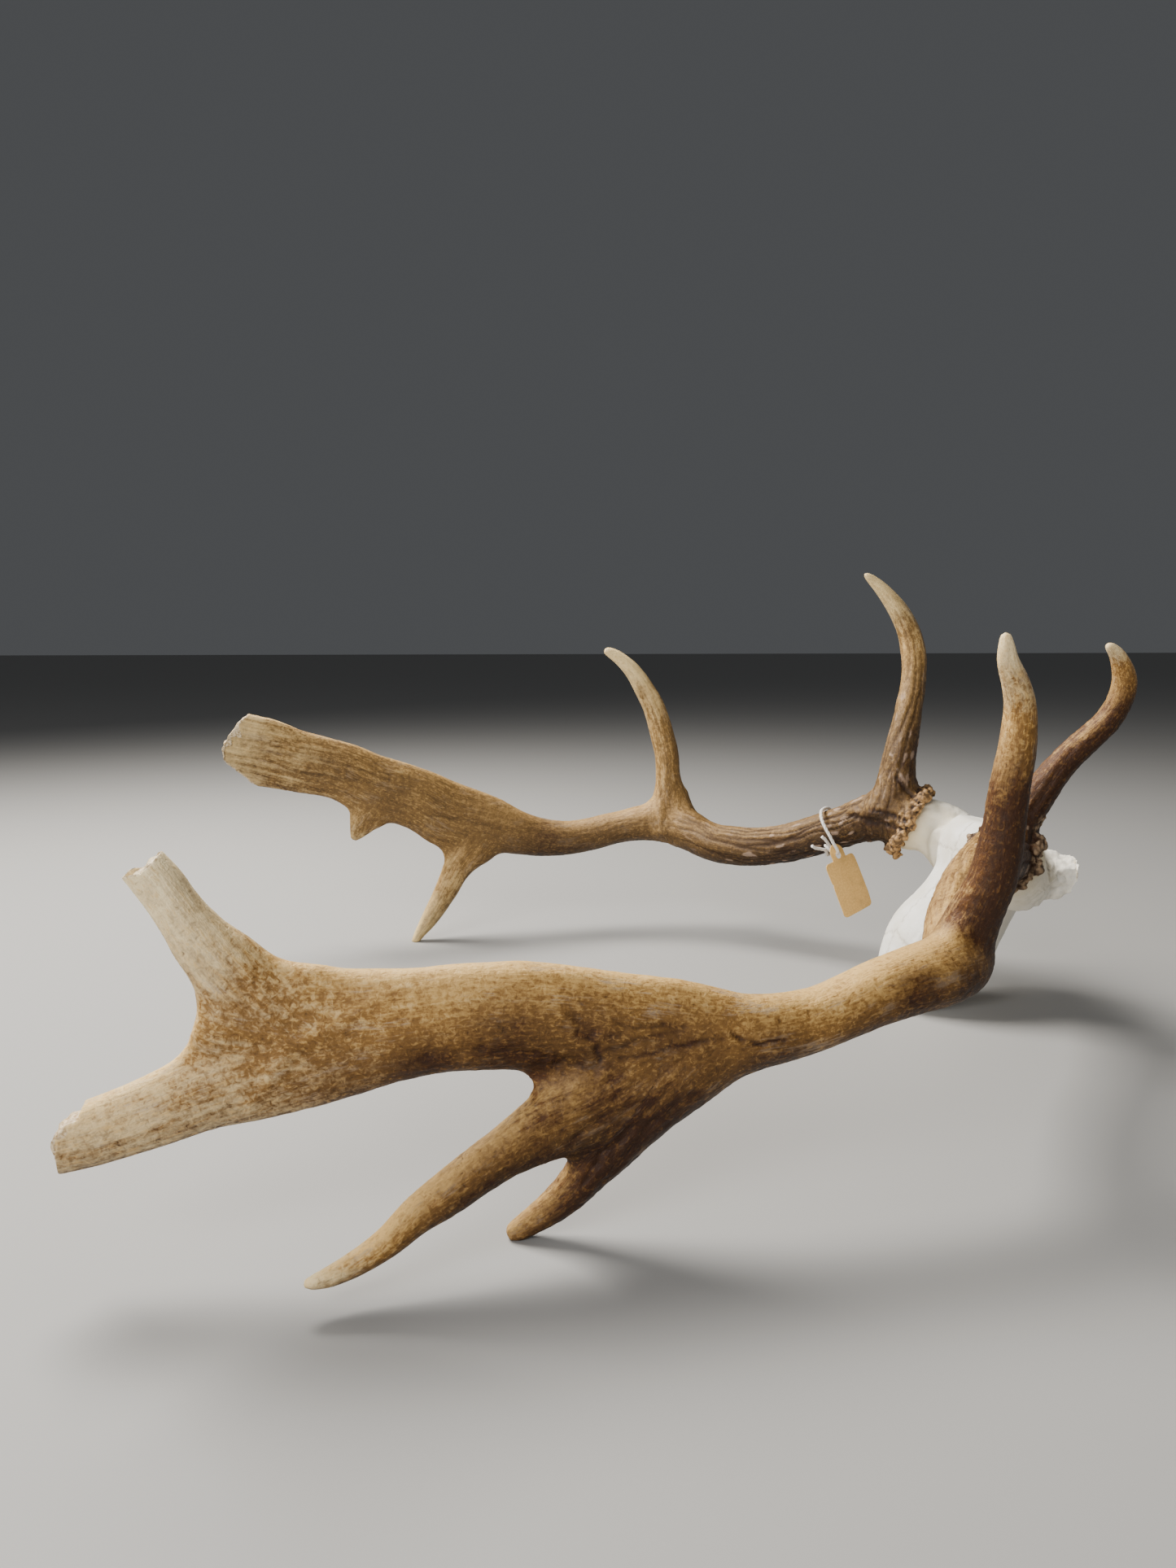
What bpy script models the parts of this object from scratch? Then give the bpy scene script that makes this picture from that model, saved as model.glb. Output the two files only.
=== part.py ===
"""A pair of fallow deer antlers on their sawn skull plate, with a paper tag tied on by a string.

The pair lies as it was set down: it rests on the lower edge of the skull plate and on one back
tine of each antler. +X runs from the palms to the skull plate, +Y from the animal's right antler
to its left one, and +Z is up. The origin is under the middle of the whole, on the surface.

Every grown form is a skin over limbs. A limb is a row of stations, each with its middle (x, y, z)
and the two diameters of its oval section, all in millimetres: the width, across the limb in the
upright plane of the antler, and the depth, from side to side. The stations are measured from the
skull's own middle plane, and MIDDLE moves them to the origin above.
"""

import math

import bmesh
import bpy
from mathutils import Matrix, Vector

MM = 0.001
GAP = 0.3 * MM                                # left between two pieces that touch
MIDDLE = Vector((-150.66, 6.3, 0.0)) * MM     # from the skull's middle plane to the origin
LATERAL = Vector((0.0, 1.0, 0.0))

# How a skin is made: the cell it is grown on, its smoothing, and its triangles when thinned.
CELL = 1.9 * MM
SMOOTHING_STEPS = 4
ANTLER_TRIANGLES = 3050
SKULL_TRIANGLES = 1100
RING_POINTS = 20
STEPS_PER_SPAN = 4

# The burr is the knobbly ring where an antler leaves its pedicle. Each antler's own burr is given
# by its middle, the direction it grows in, its radius and its height.
BURR_KNOBS = 17
KNOB_HEIGHT = 1.7 * MM

# The tag is a strung card with a rounded neck; its hole is the point it hangs from.
TAG_HOLE = Vector((315.8, 81.0, 75.6)) * MM
TAG_TURN = math.radians(24.0)
TAG_LEAN = math.radians(-12.7)
TAG_PITCH = math.radians(-19.4)
TAG_WIDTH = 27.0 * MM
TAG_BODY = 37.0 * MM
TAG_NECK_WIDTH = 13.0 * MM
TAG_NECK_RISE = 8.5 * MM
TAG_SHOULDER_DROP = 2.0 * MM
TAG_CORNER = 3.0 * MM
TAG_HOLE_RADIUS = 2.5 * MM
TAG_THICKNESS = 0.5 * MM
STRING_DIAMETER = 2.2 * MM
STRING_POINTS = 38

# The animal's left antler, the far one.
LEFT_BURR = (
    Vector((356.0, 58.5, 99.7)) * MM, Vector((-0.75, 0.50, 0.44)).normalized(), 25.0 * MM, 11.0 * MM,
)
LEFT_LIMBS = {
    "beam": [
        (366, 51.5, 93.5, 35, 33), (354, 60, 101, 37, 34), (344, 68, 103, 34, 32),
        (334, 80, 99, 31, 30), (325, 95, 92, 28.5, 28), (315, 107, 85.5, 27.5, 27),
        (304, 120, 79, 27, 27), (292, 134, 73.5, 27.5, 27), (277, 150, 70, 28, 27),
        (261, 166, 71, 29, 27), (247, 182, 77, 30, 27), (234, 195, 81, 30.5, 26),
        (216, 203, 81, 27, 25), (197, 208, 77.5, 24.5, 23), (178, 211, 72.5, 25, 22),
        (160, 213, 70, 26.5, 22), (141, 214, 71, 29, 21), (122, 214, 75.5, 34, 20),
        (101, 214, 82, 44, 19), (73, 214, 90, 50, 18), (50, 213, 103, 46, 17), (21, 212, 113, 46, 16),
        (-4, 210, 125, 43, 15), (-31, 208, 132, 45, 14), (-51, 205, 138.5, 49, 13),
        (-64, 202.5, 145, 48.5, 12), (-73, 201, 150, 41, 11), (-79, 200, 151.5, 27, 9),
    ],
    "brow_tine": [
        (346, 64, 104, 46, 30), (347, 64.5, 120, 31, 26), (348, 66, 133, 24, 22),
        (352, 69, 148, 21, 20), (356, 72, 160, 19.5, 18.5), (361, 76, 175, 18, 17),
        (365, 80, 189, 17, 16), (367, 84, 205, 17, 15.5), (365, 88, 221, 16, 14.5),
        (358, 91, 236, 14, 12.5), (348, 94, 249, 10.5, 9.5), (340, 95, 256, 7.5, 7),
        (334.5, 95, 260, 4.5, 4.5),
    ],
    "trez_tine": [
        (236, 195, 84, 46, 24), (236, 199, 99, 28, 20), (236, 200, 112, 20.5, 18),
        (234, 203, 131, 17, 16.5), (231, 206, 148, 17, 16), (226, 209, 166, 17, 15.5),
        (218, 211, 181, 15.5, 13.5), (209, 213, 195, 13, 11.5), (198, 215, 205, 10.5, 9.5),
        (188.5, 215, 209.5, 7, 6.5),
    ],
    "back_tine": [
        (106, 214, 82, 40, 17), (95, 214, 70, 34, 16), (80, 213, 54, 23.5, 15), (67, 210, 31, 17, 13),
        (57, 207, 16, 13.5, 11.5), (48.5, 204.5, 4.5, 8.5, 8), (45.5, 204, 0.5, 6, 6),
    ],
    "palm_point": [
        (20, 212, 98, 32, 13), (12, 212, 89, 24, 11), (8, 212, 82, 15.5, 9.5), (3.5, 212, 74.5, 6, 5),
    ],
}
LEFT_FORKS = [
    ((348, 66, 131), (0.2, 0.15, 0.97), 36),
    ((236, 199.5, 105), (0.0, 0.1, 0.99), 42),
    ((118, 214, 76), (0.97, 0.0, -0.26), 56),
    ((80, 213, 53), (-0.5, 0.0, -0.87), 38),
]
LEFT_NODES = {
    "left_beam": (250, 178, 75),
    "left_brow_tine": (365, 80, 200),
    "left_trez_tine": (226, 209, 166),
    "left_palm": (0, 211, 122),
    "left_back_tine": (57, 207, 16),
}

# The animal's right antler, the near one. Its palm forks in two broken prongs.
RIGHT_BURR = (
    Vector((345.0, -60.0, 100.5)) * MM, Vector((-0.75, -0.50, 0.44)).normalized(), 22.5 * MM, 8.5 * MM,
)
RIGHT_LIMBS = {
    "beam": [
        (355, -53, 94.5, 35, 33), (345, -60, 100.5, 36, 34), (336, -68, 103, 33, 32),
        (326, -78, 103, 31.5, 31), (314, -90, 102, 31, 30), (294, -110, 98, 30.5, 29),
        (272, -137, 94, 29.5, 28.5), (252, -166, 90.5, 28.5, 28.5), (239, -189, 88.2, 28.5, 28.5),
        (225, -200, 87.5, 28, 28), (208, -205, 86, 27, 26), (192, -208.5, 83, 24.5, 24.5),
        (175, -211, 78.5, 23.5, 23.5), (160, -212.5, 75.5, 25, 22.5), (145, -213, 74, 28, 22),
        (131, -212.5, 73.5, 34, 21), (110, -211, 77, 38.5, 20), (92, -210, 80, 38, 20),
        (75, -209, 83, 39, 20), (58, -208, 85, 39.5, 20), (41, -207, 85.5, 39.5, 20),
        (24, -206, 84.5, 40, 19.5), (7, -205, 83.5, 43, 19), (-9, -204, 83.5, 48, 18.5),
        (-22, -203.5, 85, 52, 17.5), (-34, -203, 87, 50, 16.5), (-44, -202.5, 89, 34, 15),
        (-50, -202, 91, 16, 12),
    ],
    "upper_prong": [
        (-12, -204, 82, 30, 18), (-28, -203, 94, 30, 17), (-40.5, -202, 107, 28, 16),
        (-52, -200, 121.5, 23, 15), (-60.5, -198, 133, 19.5, 13.5), (-67.5, -197, 142.5, 17, 11),
    ],
    "lower_prong": [
        (-8, -204, 78, 40, 18), (-26, -203, 72, 38, 17.5), (-46, -202, 66, 30, 17),
        (-63, -201, 60, 27, 16), (-78, -200, 54, 24.5, 15), (-88, -200, 51, 23.5, 14),
        (-94, -200, 48, 19, 12), (-98, -200, 45.5, 12, 9),
    ],
    "long_tine": [
        (108, -211, 68, 38, 19), (86, -212, 58, 38, 18), (66, -214, 51, 31, 17),
        (51, -218, 41.5, 19, 16), (39, -221, 35, 17, 15), (29, -224, 30, 16, 14),
        (19, -226, 25, 13.5, 12.5), (10, -229, 19, 11.5, 11), (1, -231, 14.5, 10, 9.5),
        (-8, -233, 11.5, 8.5, 8), (-14, -234, 10.5, 6.8, 6.5), (-19.5, -234.5, 10, 4.5, 4.5),
    ],
    "short_tine": [
        (125, -213, 72, 28, 19), (110, -213, 60, 28, 18), (96, -212, 45, 26, 17),
        (86, -210, 32, 19, 14), (78, -209, 23, 12.5, 12), (69, -207, 12.5, 9.8, 9.8),
        (60, -205, 5, 7.8, 7.5), (54, -204, 1, 6, 6),
    ],
    "trez_tine": [
        (239, -189.5, 90, 28.5, 26.5), (240, -195, 104, 23, 21), (244, -201, 122, 19.5, 19),
        (246, -204, 140, 17, 17), (246, -206, 153, 16, 16), (246, -208, 164, 15.2, 15),
        (247, -209, 173, 14.7, 14.5), (247, -210, 183, 13.7, 13.5), (246, -211, 192, 12.4, 12),
        (242, -213, 201, 10.5, 10.5), (238, -214, 208, 8.8, 8.5), (236.5, -215, 214, 7.4, 7.2),
        (235.7, -215, 219.5, 5, 5),
    ],
    "brow_tine": [
        (342, -61, 105, 34, 28), (348.5, -63, 118, 24, 22), (356, -66, 131, 19, 18),
        (365, -69, 146, 16.5, 16), (373, -71, 156, 15.5, 15), (381, -73, 164, 14.5, 14.5),
        (390, -76, 174, 14, 14), (394, -79, 184, 14, 13.5), (395, -81, 194, 13.5, 12.5),
        (391, -83, 203, 11, 10.5), (385, -85, 210, 8.2, 8), (378.5, -86, 214, 5, 5),
    ],
}
RIGHT_FORKS = [
    ((357, -65.5, 129), (0.38, -0.15, 0.91), 34),
    ((241, -197, 108), (0.1, -0.2, 0.97), 40),
    ((138, -213, 74), (1.0, 0.0, -0.05), 50),
    ((61, -215, 47), (-0.86, -0.15, -0.5), 35),
    ((80, -209, 24), (-0.6, 0.05, -0.8), 24),
    ((-44, -202, 107), (-0.78, 0.0, 0.625), 40),
    ((-48, -202, 70), (-0.93, 0.0, -0.37), 43),
]
RIGHT_NODES = {
    "right_beam": (256, -168, 89),
    "right_brow_tine": (392, -78, 180),
    "right_trez_tine": (246, -206, 160),
    "right_palm": (20, -206, 84),
    "right_long_tine": (20, -226, 26),
    "right_short_tine": (66, -206, 10),
    "right_upper_prong": (-56, -199, 130),
    "right_lower_prong": (-70, -200, 57),
}

# The skull plate: the braincase behind the pedicles, the forehead in front, and both orbit rims.
PEDICLE_REACH = 3.0                           # how far a pedicle runs on past its burr, to be cut back
SKULL_LIMBS = [
    [
        (337, 0, -1.5, 10, 12), (336, 0, 4, 34, 34), (335, 0, 16, 57, 54), (345, 0, 36, 62, 64),
        (358, 0, 55, 52, 61), (368, 0, 73, 45, 64), (372, 0, 89, 44, 76), (374, 0, 100, 39, 76),
        (375, 0, 108.5, 23, 60),
    ],
    [(380, 36, 82, 42, 34), (373, 45.5, 93, 39, 34), (363, 53.5, 98.5, 34.5, 33), (356, 58.5, 99.7, 37, 37),
     (356 - 0.75 * PEDICLE_REACH, 58.5 + 0.5 * PEDICLE_REACH, 99.7 + 0.44 * PEDICLE_REACH, 37, 37)],
    [(374, -36, 82, 42, 34), (364, -46, 89, 38, 34), (352, -55, 96.5, 35, 34), (345, -60, 100.5, 38, 37),
     (345 - 0.75 * PEDICLE_REACH, -60 - 0.5 * PEDICLE_REACH, 100.5 + 0.44 * PEDICLE_REACH, 38, 37)],
    [(360, -28, 84, 36, 22), (372, -38, 87, 31, 17), (383, -45, 87, 28, 14), (393, -50, 86, 25, 12)],
    [(362, 28, 84, 36, 22), (374, 38, 87, 31, 17), (385, 45, 87, 28, 14), (395, 49, 86, 25, 12)],
]
SAW_POINT = Vector((343.0, 0.0, 4.0)) * MM
SAW_NORMAL = Vector((0.846, 0.0, -0.533)).normalized()
BRAIN_CENTRE = Vector((364.0, 0.0, 38.0)) * MM
BRAIN_RADII = Vector((25.0, 20.0, 24.5)) * MM

# The string's route in millimetres: one cut end, the knot behind the tag's neck, up behind the
# beam, over it, down its near side, through the tag's hole, and back by the knot to the other end.
STRING_ROUTE = [
    (299.5, 86.5, 81.3), (303, 88, 79.3), (307, 89.3, 78.6), (311, 90.3, 78.2), (315, 91.2, 77.2),
    (319.5, 93, 75.4), (324, 97, 74), (328.5, 102.5, 74.8), (331.5, 108, 79.5), (333, 112, 87.5),
    (330.5, 113.5, 95.5), (325, 112, 101.5), (318, 107, 104.5), (312, 99, 102.7), (309.4, 92, 98.5),
    (309.1, 87, 93.6), (310.4, 82.9, 88.9), (312.5, 80.4, 86.4), (314.3, 78.6, 84), (315.7, 77.9, 81.6),
    (316.3, 78.2, 78.5), (315.7, 81.1, 75.9), (314, 84.6, 76.2), (312.7, 86.3, 78.6), (311.5, 86.4, 81.5),
    (310.1, 85.9, 84.2), (308, 86.1, 86), (305.4, 86.5, 86.9),
]

COLOURS = {
    "antler_brown": ((0.33, 0.21, 0.11), 0.62),
    "antler_tan": ((0.50, 0.36, 0.20), 0.60),
    "antler_pale": ((0.66, 0.55, 0.40), 0.62),
    "skull_bone": ((0.82, 0.80, 0.74), 0.70),
    "manila_card": ((0.70, 0.50, 0.28), 0.85),
    "cotton_string": ((0.80, 0.79, 0.76), 0.90),
}
PALE_NODES = (
    "right_upper_prong", "right_lower_prong", "right_long_tine", "right_short_tine", "left_back_tine",
)
BROWN_NODES = ("left_beam", "left_brow_tine", "right_brow_tine", "right_beam")


def clear_scene():
    for old in list(bpy.data.objects):
        bpy.data.objects.remove(old, do_unlink=True)


def new_collection(name):
    collection = bpy.data.collections.new(name)
    bpy.context.scene.collection.children.link(collection)
    return collection


def new_material(name):
    colour, roughness = COLOURS[name]
    material = bpy.data.materials.new(name)
    material.use_nodes = True
    shader = material.node_tree.nodes["Principled BSDF"]
    shader.inputs["Base Color"].default_value = (*colour, 1.0)
    shader.inputs["Roughness"].default_value = roughness
    shader.inputs["Metallic"].default_value = 0.0
    return material


def placed(point):
    """A station's middle, in millimetres from the skull's middle plane, as a point of the part."""
    return Vector(point) * MM + MIDDLE


def smooth_row(row):
    """Catmull-Rom values between the numbers of a row, station by station."""
    ends = [row[0], *row, row[-1]]
    smooth = []
    for a, b, c, d in zip(ends, ends[1:], ends[2:], ends[3:]):
        for step in range(STEPS_PER_SPAN):
            t = step / STEPS_PER_SPAN
            smooth.append([
                q + 0.5 * t * (r - p + t * (2 * p - 5 * q + 4 * r - s + t * (3 * (q - r) + s - p)))
                for p, q, r, s in zip(a, b, c, d)
            ])
    smooth.append(list(row[-1]))
    return smooth


def add_rings(shell, rings):
    """Closes a row of equal rings of points into one tube with flat ends."""
    loops = [[shell.verts.new(point) for point in ring] for ring in rings]
    count = len(loops[0])
    for low, high in zip(loops, loops[1:]):
        for i in range(count):
            j = (i + 1) % count
            shell.faces.new((low[i], low[j], high[j], high[i]))
    shell.faces.new(loops[0][::-1])
    shell.faces.new(loops[-1])


def add_limb(shell, stations):
    """A limb's oval sections, square to its smoothed middle line."""
    row = smooth_row(stations)
    middles = [placed(values[:3]) for values in row]
    rings = []
    for i, values in enumerate(row):
        along = (middles[min(i + 1, len(row) - 1)] - middles[max(i - 1, 0)]).normalized()
        across = along.cross(LATERAL).normalized()
        sideways = across.cross(along)
        ring = []
        for k in range(RING_POINTS):
            angle = 2 * math.pi * k / RING_POINTS
            ring.append(
                middles[i]
                + across * (0.5 * values[3] * MM * math.cos(angle))
                + sideways * (0.5 * values[4] * MM * math.sin(angle))
            )
        rings.append(ring)
    add_rings(shell, rings)


def add_burr(shell, burr):
    """A ring round the antler's foot whose rim stands out in knobs of uneven height."""
    middle, axis, rim_radius, thickness = burr
    centre = middle + MIDDLE
    side = axis.cross(LATERAL).normalized()
    rise = axis.cross(side)
    points = BURR_KNOBS * 6
    rings = []
    for height, share in ((-0.3, 0.80), (0.0, 0.97), (0.35, 1.0), (0.7, 0.93), (1.0, 0.74)):
        ring = []
        for k in range(points):
            angle = 2 * math.pi * k / points
            knob = math.cos(BURR_KNOBS * angle) * (0.7 + 0.3 * math.cos(3 * angle + 1.0))
            radius = (rim_radius + KNOB_HEIGHT * knob) * share
            ring.append(
                centre + axis * (height * thickness)
                + (side * math.cos(angle) + rise * math.sin(angle)) * radius
            )
        rings.append(ring)
    add_rings(shell, rings)


def mesh_object(name, shell, collection):
    bmesh.ops.recalc_face_normals(shell, faces=shell.faces)
    mesh = bpy.data.meshes.new(name)
    shell.to_mesh(mesh)
    shell.free()
    thing = bpy.data.objects.new(name, mesh)
    collection.objects.link(thing)
    return thing


def settle(thing):
    """Makes an object's modifiers part of its mesh."""
    graph = bpy.context.evaluated_depsgraph_get()
    mesh = bpy.data.meshes.new_from_object(thing.evaluated_get(graph))
    thing.modifiers.clear()
    thing.data = mesh


def skin(thing, triangles):
    """Grows one even skin over the overlapping shells of an object and thins it."""
    remesh = thing.modifiers.new("one_skin", "REMESH")
    remesh.mode = "VOXEL"
    remesh.voxel_size = CELL
    smooth = thing.modifiers.new("even_out", "SMOOTH")
    smooth.factor = 0.5
    smooth.iterations = SMOOTHING_STEPS
    settle(thing)
    thin = thing.modifiers.new("thin_out", "DECIMATE")
    thin.ratio = triangles / sum(len(face.vertices) - 2 for face in thing.data.polygons)
    settle(thing)


def slab(shell, centre, normal, size, thickness, on_face=False):
    """A flat square block; with on_face its near face, not its middle, holds the centre."""
    turn = Vector(normal).to_track_quat("Z", "Y").to_matrix().to_4x4()
    lift = thickness / 2 if on_face else 0.0
    place = Matrix.Translation(centre) @ turn @ Matrix.Translation((0, 0, lift))
    bmesh.ops.create_cube(shell, size=1.0, matrix=place @ Matrix.Diagonal((size, size, thickness, 1.0)))


def new_cutter(name, shell, cutters):
    cutter = mesh_object(name, shell, cutters)
    cutter.hide_render = True
    cutter.display_type = "WIRE"
    return cutter


def cut(thing, cutter):
    boolean = thing.modifiers.new(cutter.name, "BOOLEAN")
    boolean.operation = "DIFFERENCE"
    boolean.object = cutter
    settle(thing)


def floor_cutter(cutters):
    """Everything under the surface that the antlers lie on."""
    shell = bmesh.new()
    slab(shell, Vector((0, 0, 0)), (0, 0, -1), 0.8, 0.05, on_face=True)
    return new_cutter("floor", shell, cutters)


def foot_cutter(side, burr, cutters):
    """What lies on the skull's side of a burr's flat foot."""
    shell = bmesh.new()
    slab(shell, burr[0] + MIDDLE + burr[1] * GAP, -burr[1], 0.07, 0.03, on_face=True)
    return new_cutter(side + "_foot", shell, cutters)


def fork_cutter(side, forks, cutters):
    """Thin slots that part the antler at its main forks."""
    shell = bmesh.new()
    for point, normal, reach in forks:
        slab(shell, placed(point), normal, reach * MM, GAP)
    return new_cutter(side + "_forks", shell, cutters)


def loose_parts(mesh):
    """The separate closed bodies of a mesh, each as a new bmesh."""
    whole = bmesh.new()
    whole.from_mesh(mesh)
    waiting = set(whole.verts)
    parts = []
    while waiting:
        front = [waiting.pop()]
        group = set(front)
        while front:
            for edge in front.pop().link_edges:
                for vert in edge.verts:
                    if vert not in group:
                        group.add(vert)
                        front.append(vert)
        waiting -= group
        part = whole.copy()
        kept = {vert.index for vert in group}
        others = [vert for vert in part.verts if vert.index not in kept]
        bmesh.ops.delete(part, geom=others, context="VERTS")
        parts.append(part)
    whole.free()
    return parts


def name_pieces(thing, nodes, collection):
    """Makes an object of each body, named for the marker point that it lies closest to."""
    parts = loose_parts(thing.data)
    for name, marker in nodes.items():
        target = placed(marker)
        nearest = min(parts, key=lambda part: min((vert.co - target).length for vert in part.verts))
        parts.remove(nearest)
        piece = mesh_object(name, nearest, collection)
        piece.data.shade_smooth()
    bpy.data.objects.remove(thing, do_unlink=True)


def build_antler(side, limbs, burr, forks, nodes, floor, collection, cutters):
    shell = bmesh.new()
    for stations in limbs.values():
        add_limb(shell, stations)
    add_burr(shell, burr)
    antler = mesh_object(side + "_antler", shell, collection)
    skin(antler, ANTLER_TRIANGLES)
    cut(antler, foot_cutter(side, burr, cutters))
    cut(antler, floor)
    cut(antler, fork_cutter(side, forks, cutters))
    name_pieces(antler, nodes, collection)


def build_skull_plate(floor, collection, cutters):
    shell = bmesh.new()
    for stations in SKULL_LIMBS:
        add_limb(shell, stations)
    plate = mesh_object("skull_plate", shell, collection)
    skin(plate, SKULL_TRIANGLES)

    shell = bmesh.new()
    slab(shell, SAW_POINT + MIDDLE, SAW_NORMAL, 0.3, 0.08, on_face=True)
    cut(plate, new_cutter("saw_cut", shell, cutters))

    shell = bmesh.new()
    turn = SAW_NORMAL.to_track_quat("X", "Z").to_matrix().to_4x4()
    place = Matrix.Translation(BRAIN_CENTRE + MIDDLE) @ turn @ Matrix.Diagonal((*BRAIN_RADII, 1.0))
    bmesh.ops.create_uvsphere(shell, u_segments=20, v_segments=12, radius=1.0, matrix=place)
    cut(plate, new_cutter("brain_hollow", shell, cutters))

    for side, burr in (("left", LEFT_BURR), ("right", RIGHT_BURR)):
        shell = bmesh.new()
        slab(shell, burr[0] + MIDDLE, burr[1], 0.07, 0.03, on_face=True)
        cut(plate, new_cutter(side + "_pedicle_end", shell, cutters))
    cut(plate, floor)
    plate.data.shade_smooth()


def tag_outline():
    """The card's outline round its hole: a corner, the neck's arc, and the three other corners."""
    half, neck = TAG_WIDTH / 2, TAG_NECK_WIDTH / 2
    shoulder, foot = -TAG_SHOULDER_DROP, -TAG_SHOULDER_DROP - TAG_BODY
    points = []

    def arc(x, y, radius, start, end, steps):
        for step in range(steps + 1):
            angle = math.radians(start + (end - start) * step / steps)
            points.append((x + radius * math.cos(angle), y + radius * math.sin(angle)))

    arc(half - TAG_CORNER, shoulder - TAG_CORNER, TAG_CORNER, 0, 90, 3)
    arc(0, TAG_NECK_RISE - neck, neck, 0, 180, 8)
    arc(-half + TAG_CORNER, shoulder - TAG_CORNER, TAG_CORNER, 90, 180, 3)
    arc(-half + TAG_CORNER, foot + TAG_CORNER, TAG_CORNER, 180, 270, 3)
    arc(half - TAG_CORNER, foot + TAG_CORNER, TAG_CORNER, 270, 360, 3)
    return points


def build_tag(collection):
    curve = bpy.data.curves.new("tag", "CURVE")
    curve.dimensions = "2D"
    curve.fill_mode = "BOTH"
    curve.extrude = TAG_THICKNESS / 2
    turn = 2 * math.pi / 16
    hole = [(TAG_HOLE_RADIUS * math.cos(turn * k), TAG_HOLE_RADIUS * math.sin(turn * k)) for k in range(16)]
    for outline in (tag_outline(), hole):
        spline = curve.splines.new("POLY")
        spline.points.add(len(outline) - 1)
        for point, (x, y) in zip(spline.points, outline):
            point.co = (x, y, 0.0, 1.0)
        spline.use_cyclic_u = True
    tag = bpy.data.objects.new("tag", curve)
    collection.objects.link(tag)
    turned = Matrix.Rotation(TAG_TURN, 4, "Z") @ Matrix.Rotation(TAG_LEAN, 4, "Y")
    upright = Matrix.Rotation(TAG_PITCH + math.pi / 2, 4, "X")
    tag.matrix_world = Matrix.Translation(TAG_HOLE + MIDDLE) @ turned @ upright


def even_points(route, count):
    """Points at equal steps along the smooth curve through a route."""
    row = [placed(values) for values in smooth_row(route)]
    travelled = [0.0]
    for a, b in zip(row, row[1:]):
        travelled.append(travelled[-1] + (b - a).length)
    points, i = [], 0
    for k in range(count):
        target = travelled[-1] * k / (count - 1)
        while i < len(row) - 2 and travelled[i + 1] < target:
            i += 1
        t = (target - travelled[i]) / (travelled[i + 1] - travelled[i])
        points.append(row[i].lerp(row[i + 1], t))
    return points


def build_string(collection):
    curve = bpy.data.curves.new("tag_string", "CURVE")
    curve.dimensions = "3D"
    curve.bevel_depth = STRING_DIAMETER / 2
    curve.bevel_resolution = 2
    curve.use_fill_caps = True
    spline = curve.splines.new("POLY")
    points = even_points(STRING_ROUTE, STRING_POINTS)
    spline.points.add(len(points) - 1)
    for knot, point in zip(spline.points, points):
        knot.co = (*point, 1.0)
    collection.objects.link(bpy.data.objects.new("tag_string", curve))


def material_name(node):
    if node in PALE_NODES:
        return "antler_pale"
    if node in BROWN_NODES:
        return "antler_brown"
    return {
        "skull_plate": "skull_bone",
        "tag": "manila_card",
        "tag_string": "cotton_string",
    }.get(node, "antler_tan")


def build():
    clear_scene()
    collection = new_collection("fallow_deer_antlers")
    cutters = new_collection("cutters")
    floor = floor_cutter(cutters)
    build_antler("left", LEFT_LIMBS, LEFT_BURR, LEFT_FORKS, LEFT_NODES, floor, collection, cutters)
    build_antler("right", RIGHT_LIMBS, RIGHT_BURR, RIGHT_FORKS, RIGHT_NODES, floor, collection, cutters)
    build_skull_plate(floor, collection, cutters)
    build_tag(collection)
    build_string(collection)
    materials = {name: new_material(name) for name in COLOURS}
    for piece in collection.objects:
        piece.data.materials.clear()
        piece.data.materials.append(materials[material_name(piece.name)])


build()
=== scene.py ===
"""A pair of fallow deer antlers on their skull plate, with a manila tag on a cotton string.

Rows of stations are in millimetres from the skull's own middle plane: a middle (x, y, z), the
width across the limb in the antler's upright plane, and the depth from side to side. Everything
else is in metres unless a name or a comment says otherwise. +X runs from the palms to the skull plate.
"""
import math

import bmesh
import bpy
import numpy as np
from mathutils import Matrix, Vector


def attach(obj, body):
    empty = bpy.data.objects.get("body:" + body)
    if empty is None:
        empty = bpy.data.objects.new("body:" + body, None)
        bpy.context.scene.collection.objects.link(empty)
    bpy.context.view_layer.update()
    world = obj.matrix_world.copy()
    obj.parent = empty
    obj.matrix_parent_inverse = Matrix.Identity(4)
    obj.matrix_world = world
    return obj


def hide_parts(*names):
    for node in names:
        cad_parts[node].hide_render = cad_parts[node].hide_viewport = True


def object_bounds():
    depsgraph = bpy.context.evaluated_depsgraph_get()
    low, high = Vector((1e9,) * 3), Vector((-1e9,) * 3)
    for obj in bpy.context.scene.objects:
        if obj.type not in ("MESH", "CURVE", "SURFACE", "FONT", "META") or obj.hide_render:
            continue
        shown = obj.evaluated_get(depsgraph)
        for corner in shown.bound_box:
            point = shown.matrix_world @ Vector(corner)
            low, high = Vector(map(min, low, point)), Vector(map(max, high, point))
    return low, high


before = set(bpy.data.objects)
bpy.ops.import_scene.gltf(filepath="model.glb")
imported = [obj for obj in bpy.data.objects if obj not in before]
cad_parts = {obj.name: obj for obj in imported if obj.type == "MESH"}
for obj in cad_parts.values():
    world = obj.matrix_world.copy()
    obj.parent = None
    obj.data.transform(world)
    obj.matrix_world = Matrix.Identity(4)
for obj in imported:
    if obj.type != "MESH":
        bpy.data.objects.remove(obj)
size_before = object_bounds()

MM = 0.001
MIDDLE = np.array((-150.66, 6.3, 0.0)) * MM     # from the skull's middle plane to the row's origin
BOX_LOW, BOX_HIGH = np.array(size_before[0]), np.array(size_before[1])
BOX_INSET = 0.15 * MM                           # how far every piece stays inside the part's own box


def row_place(place):
    """A place in millimetres from the skull's middle plane, in the row's own frame."""
    return np.array(place) * MM + MIDDLE


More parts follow.
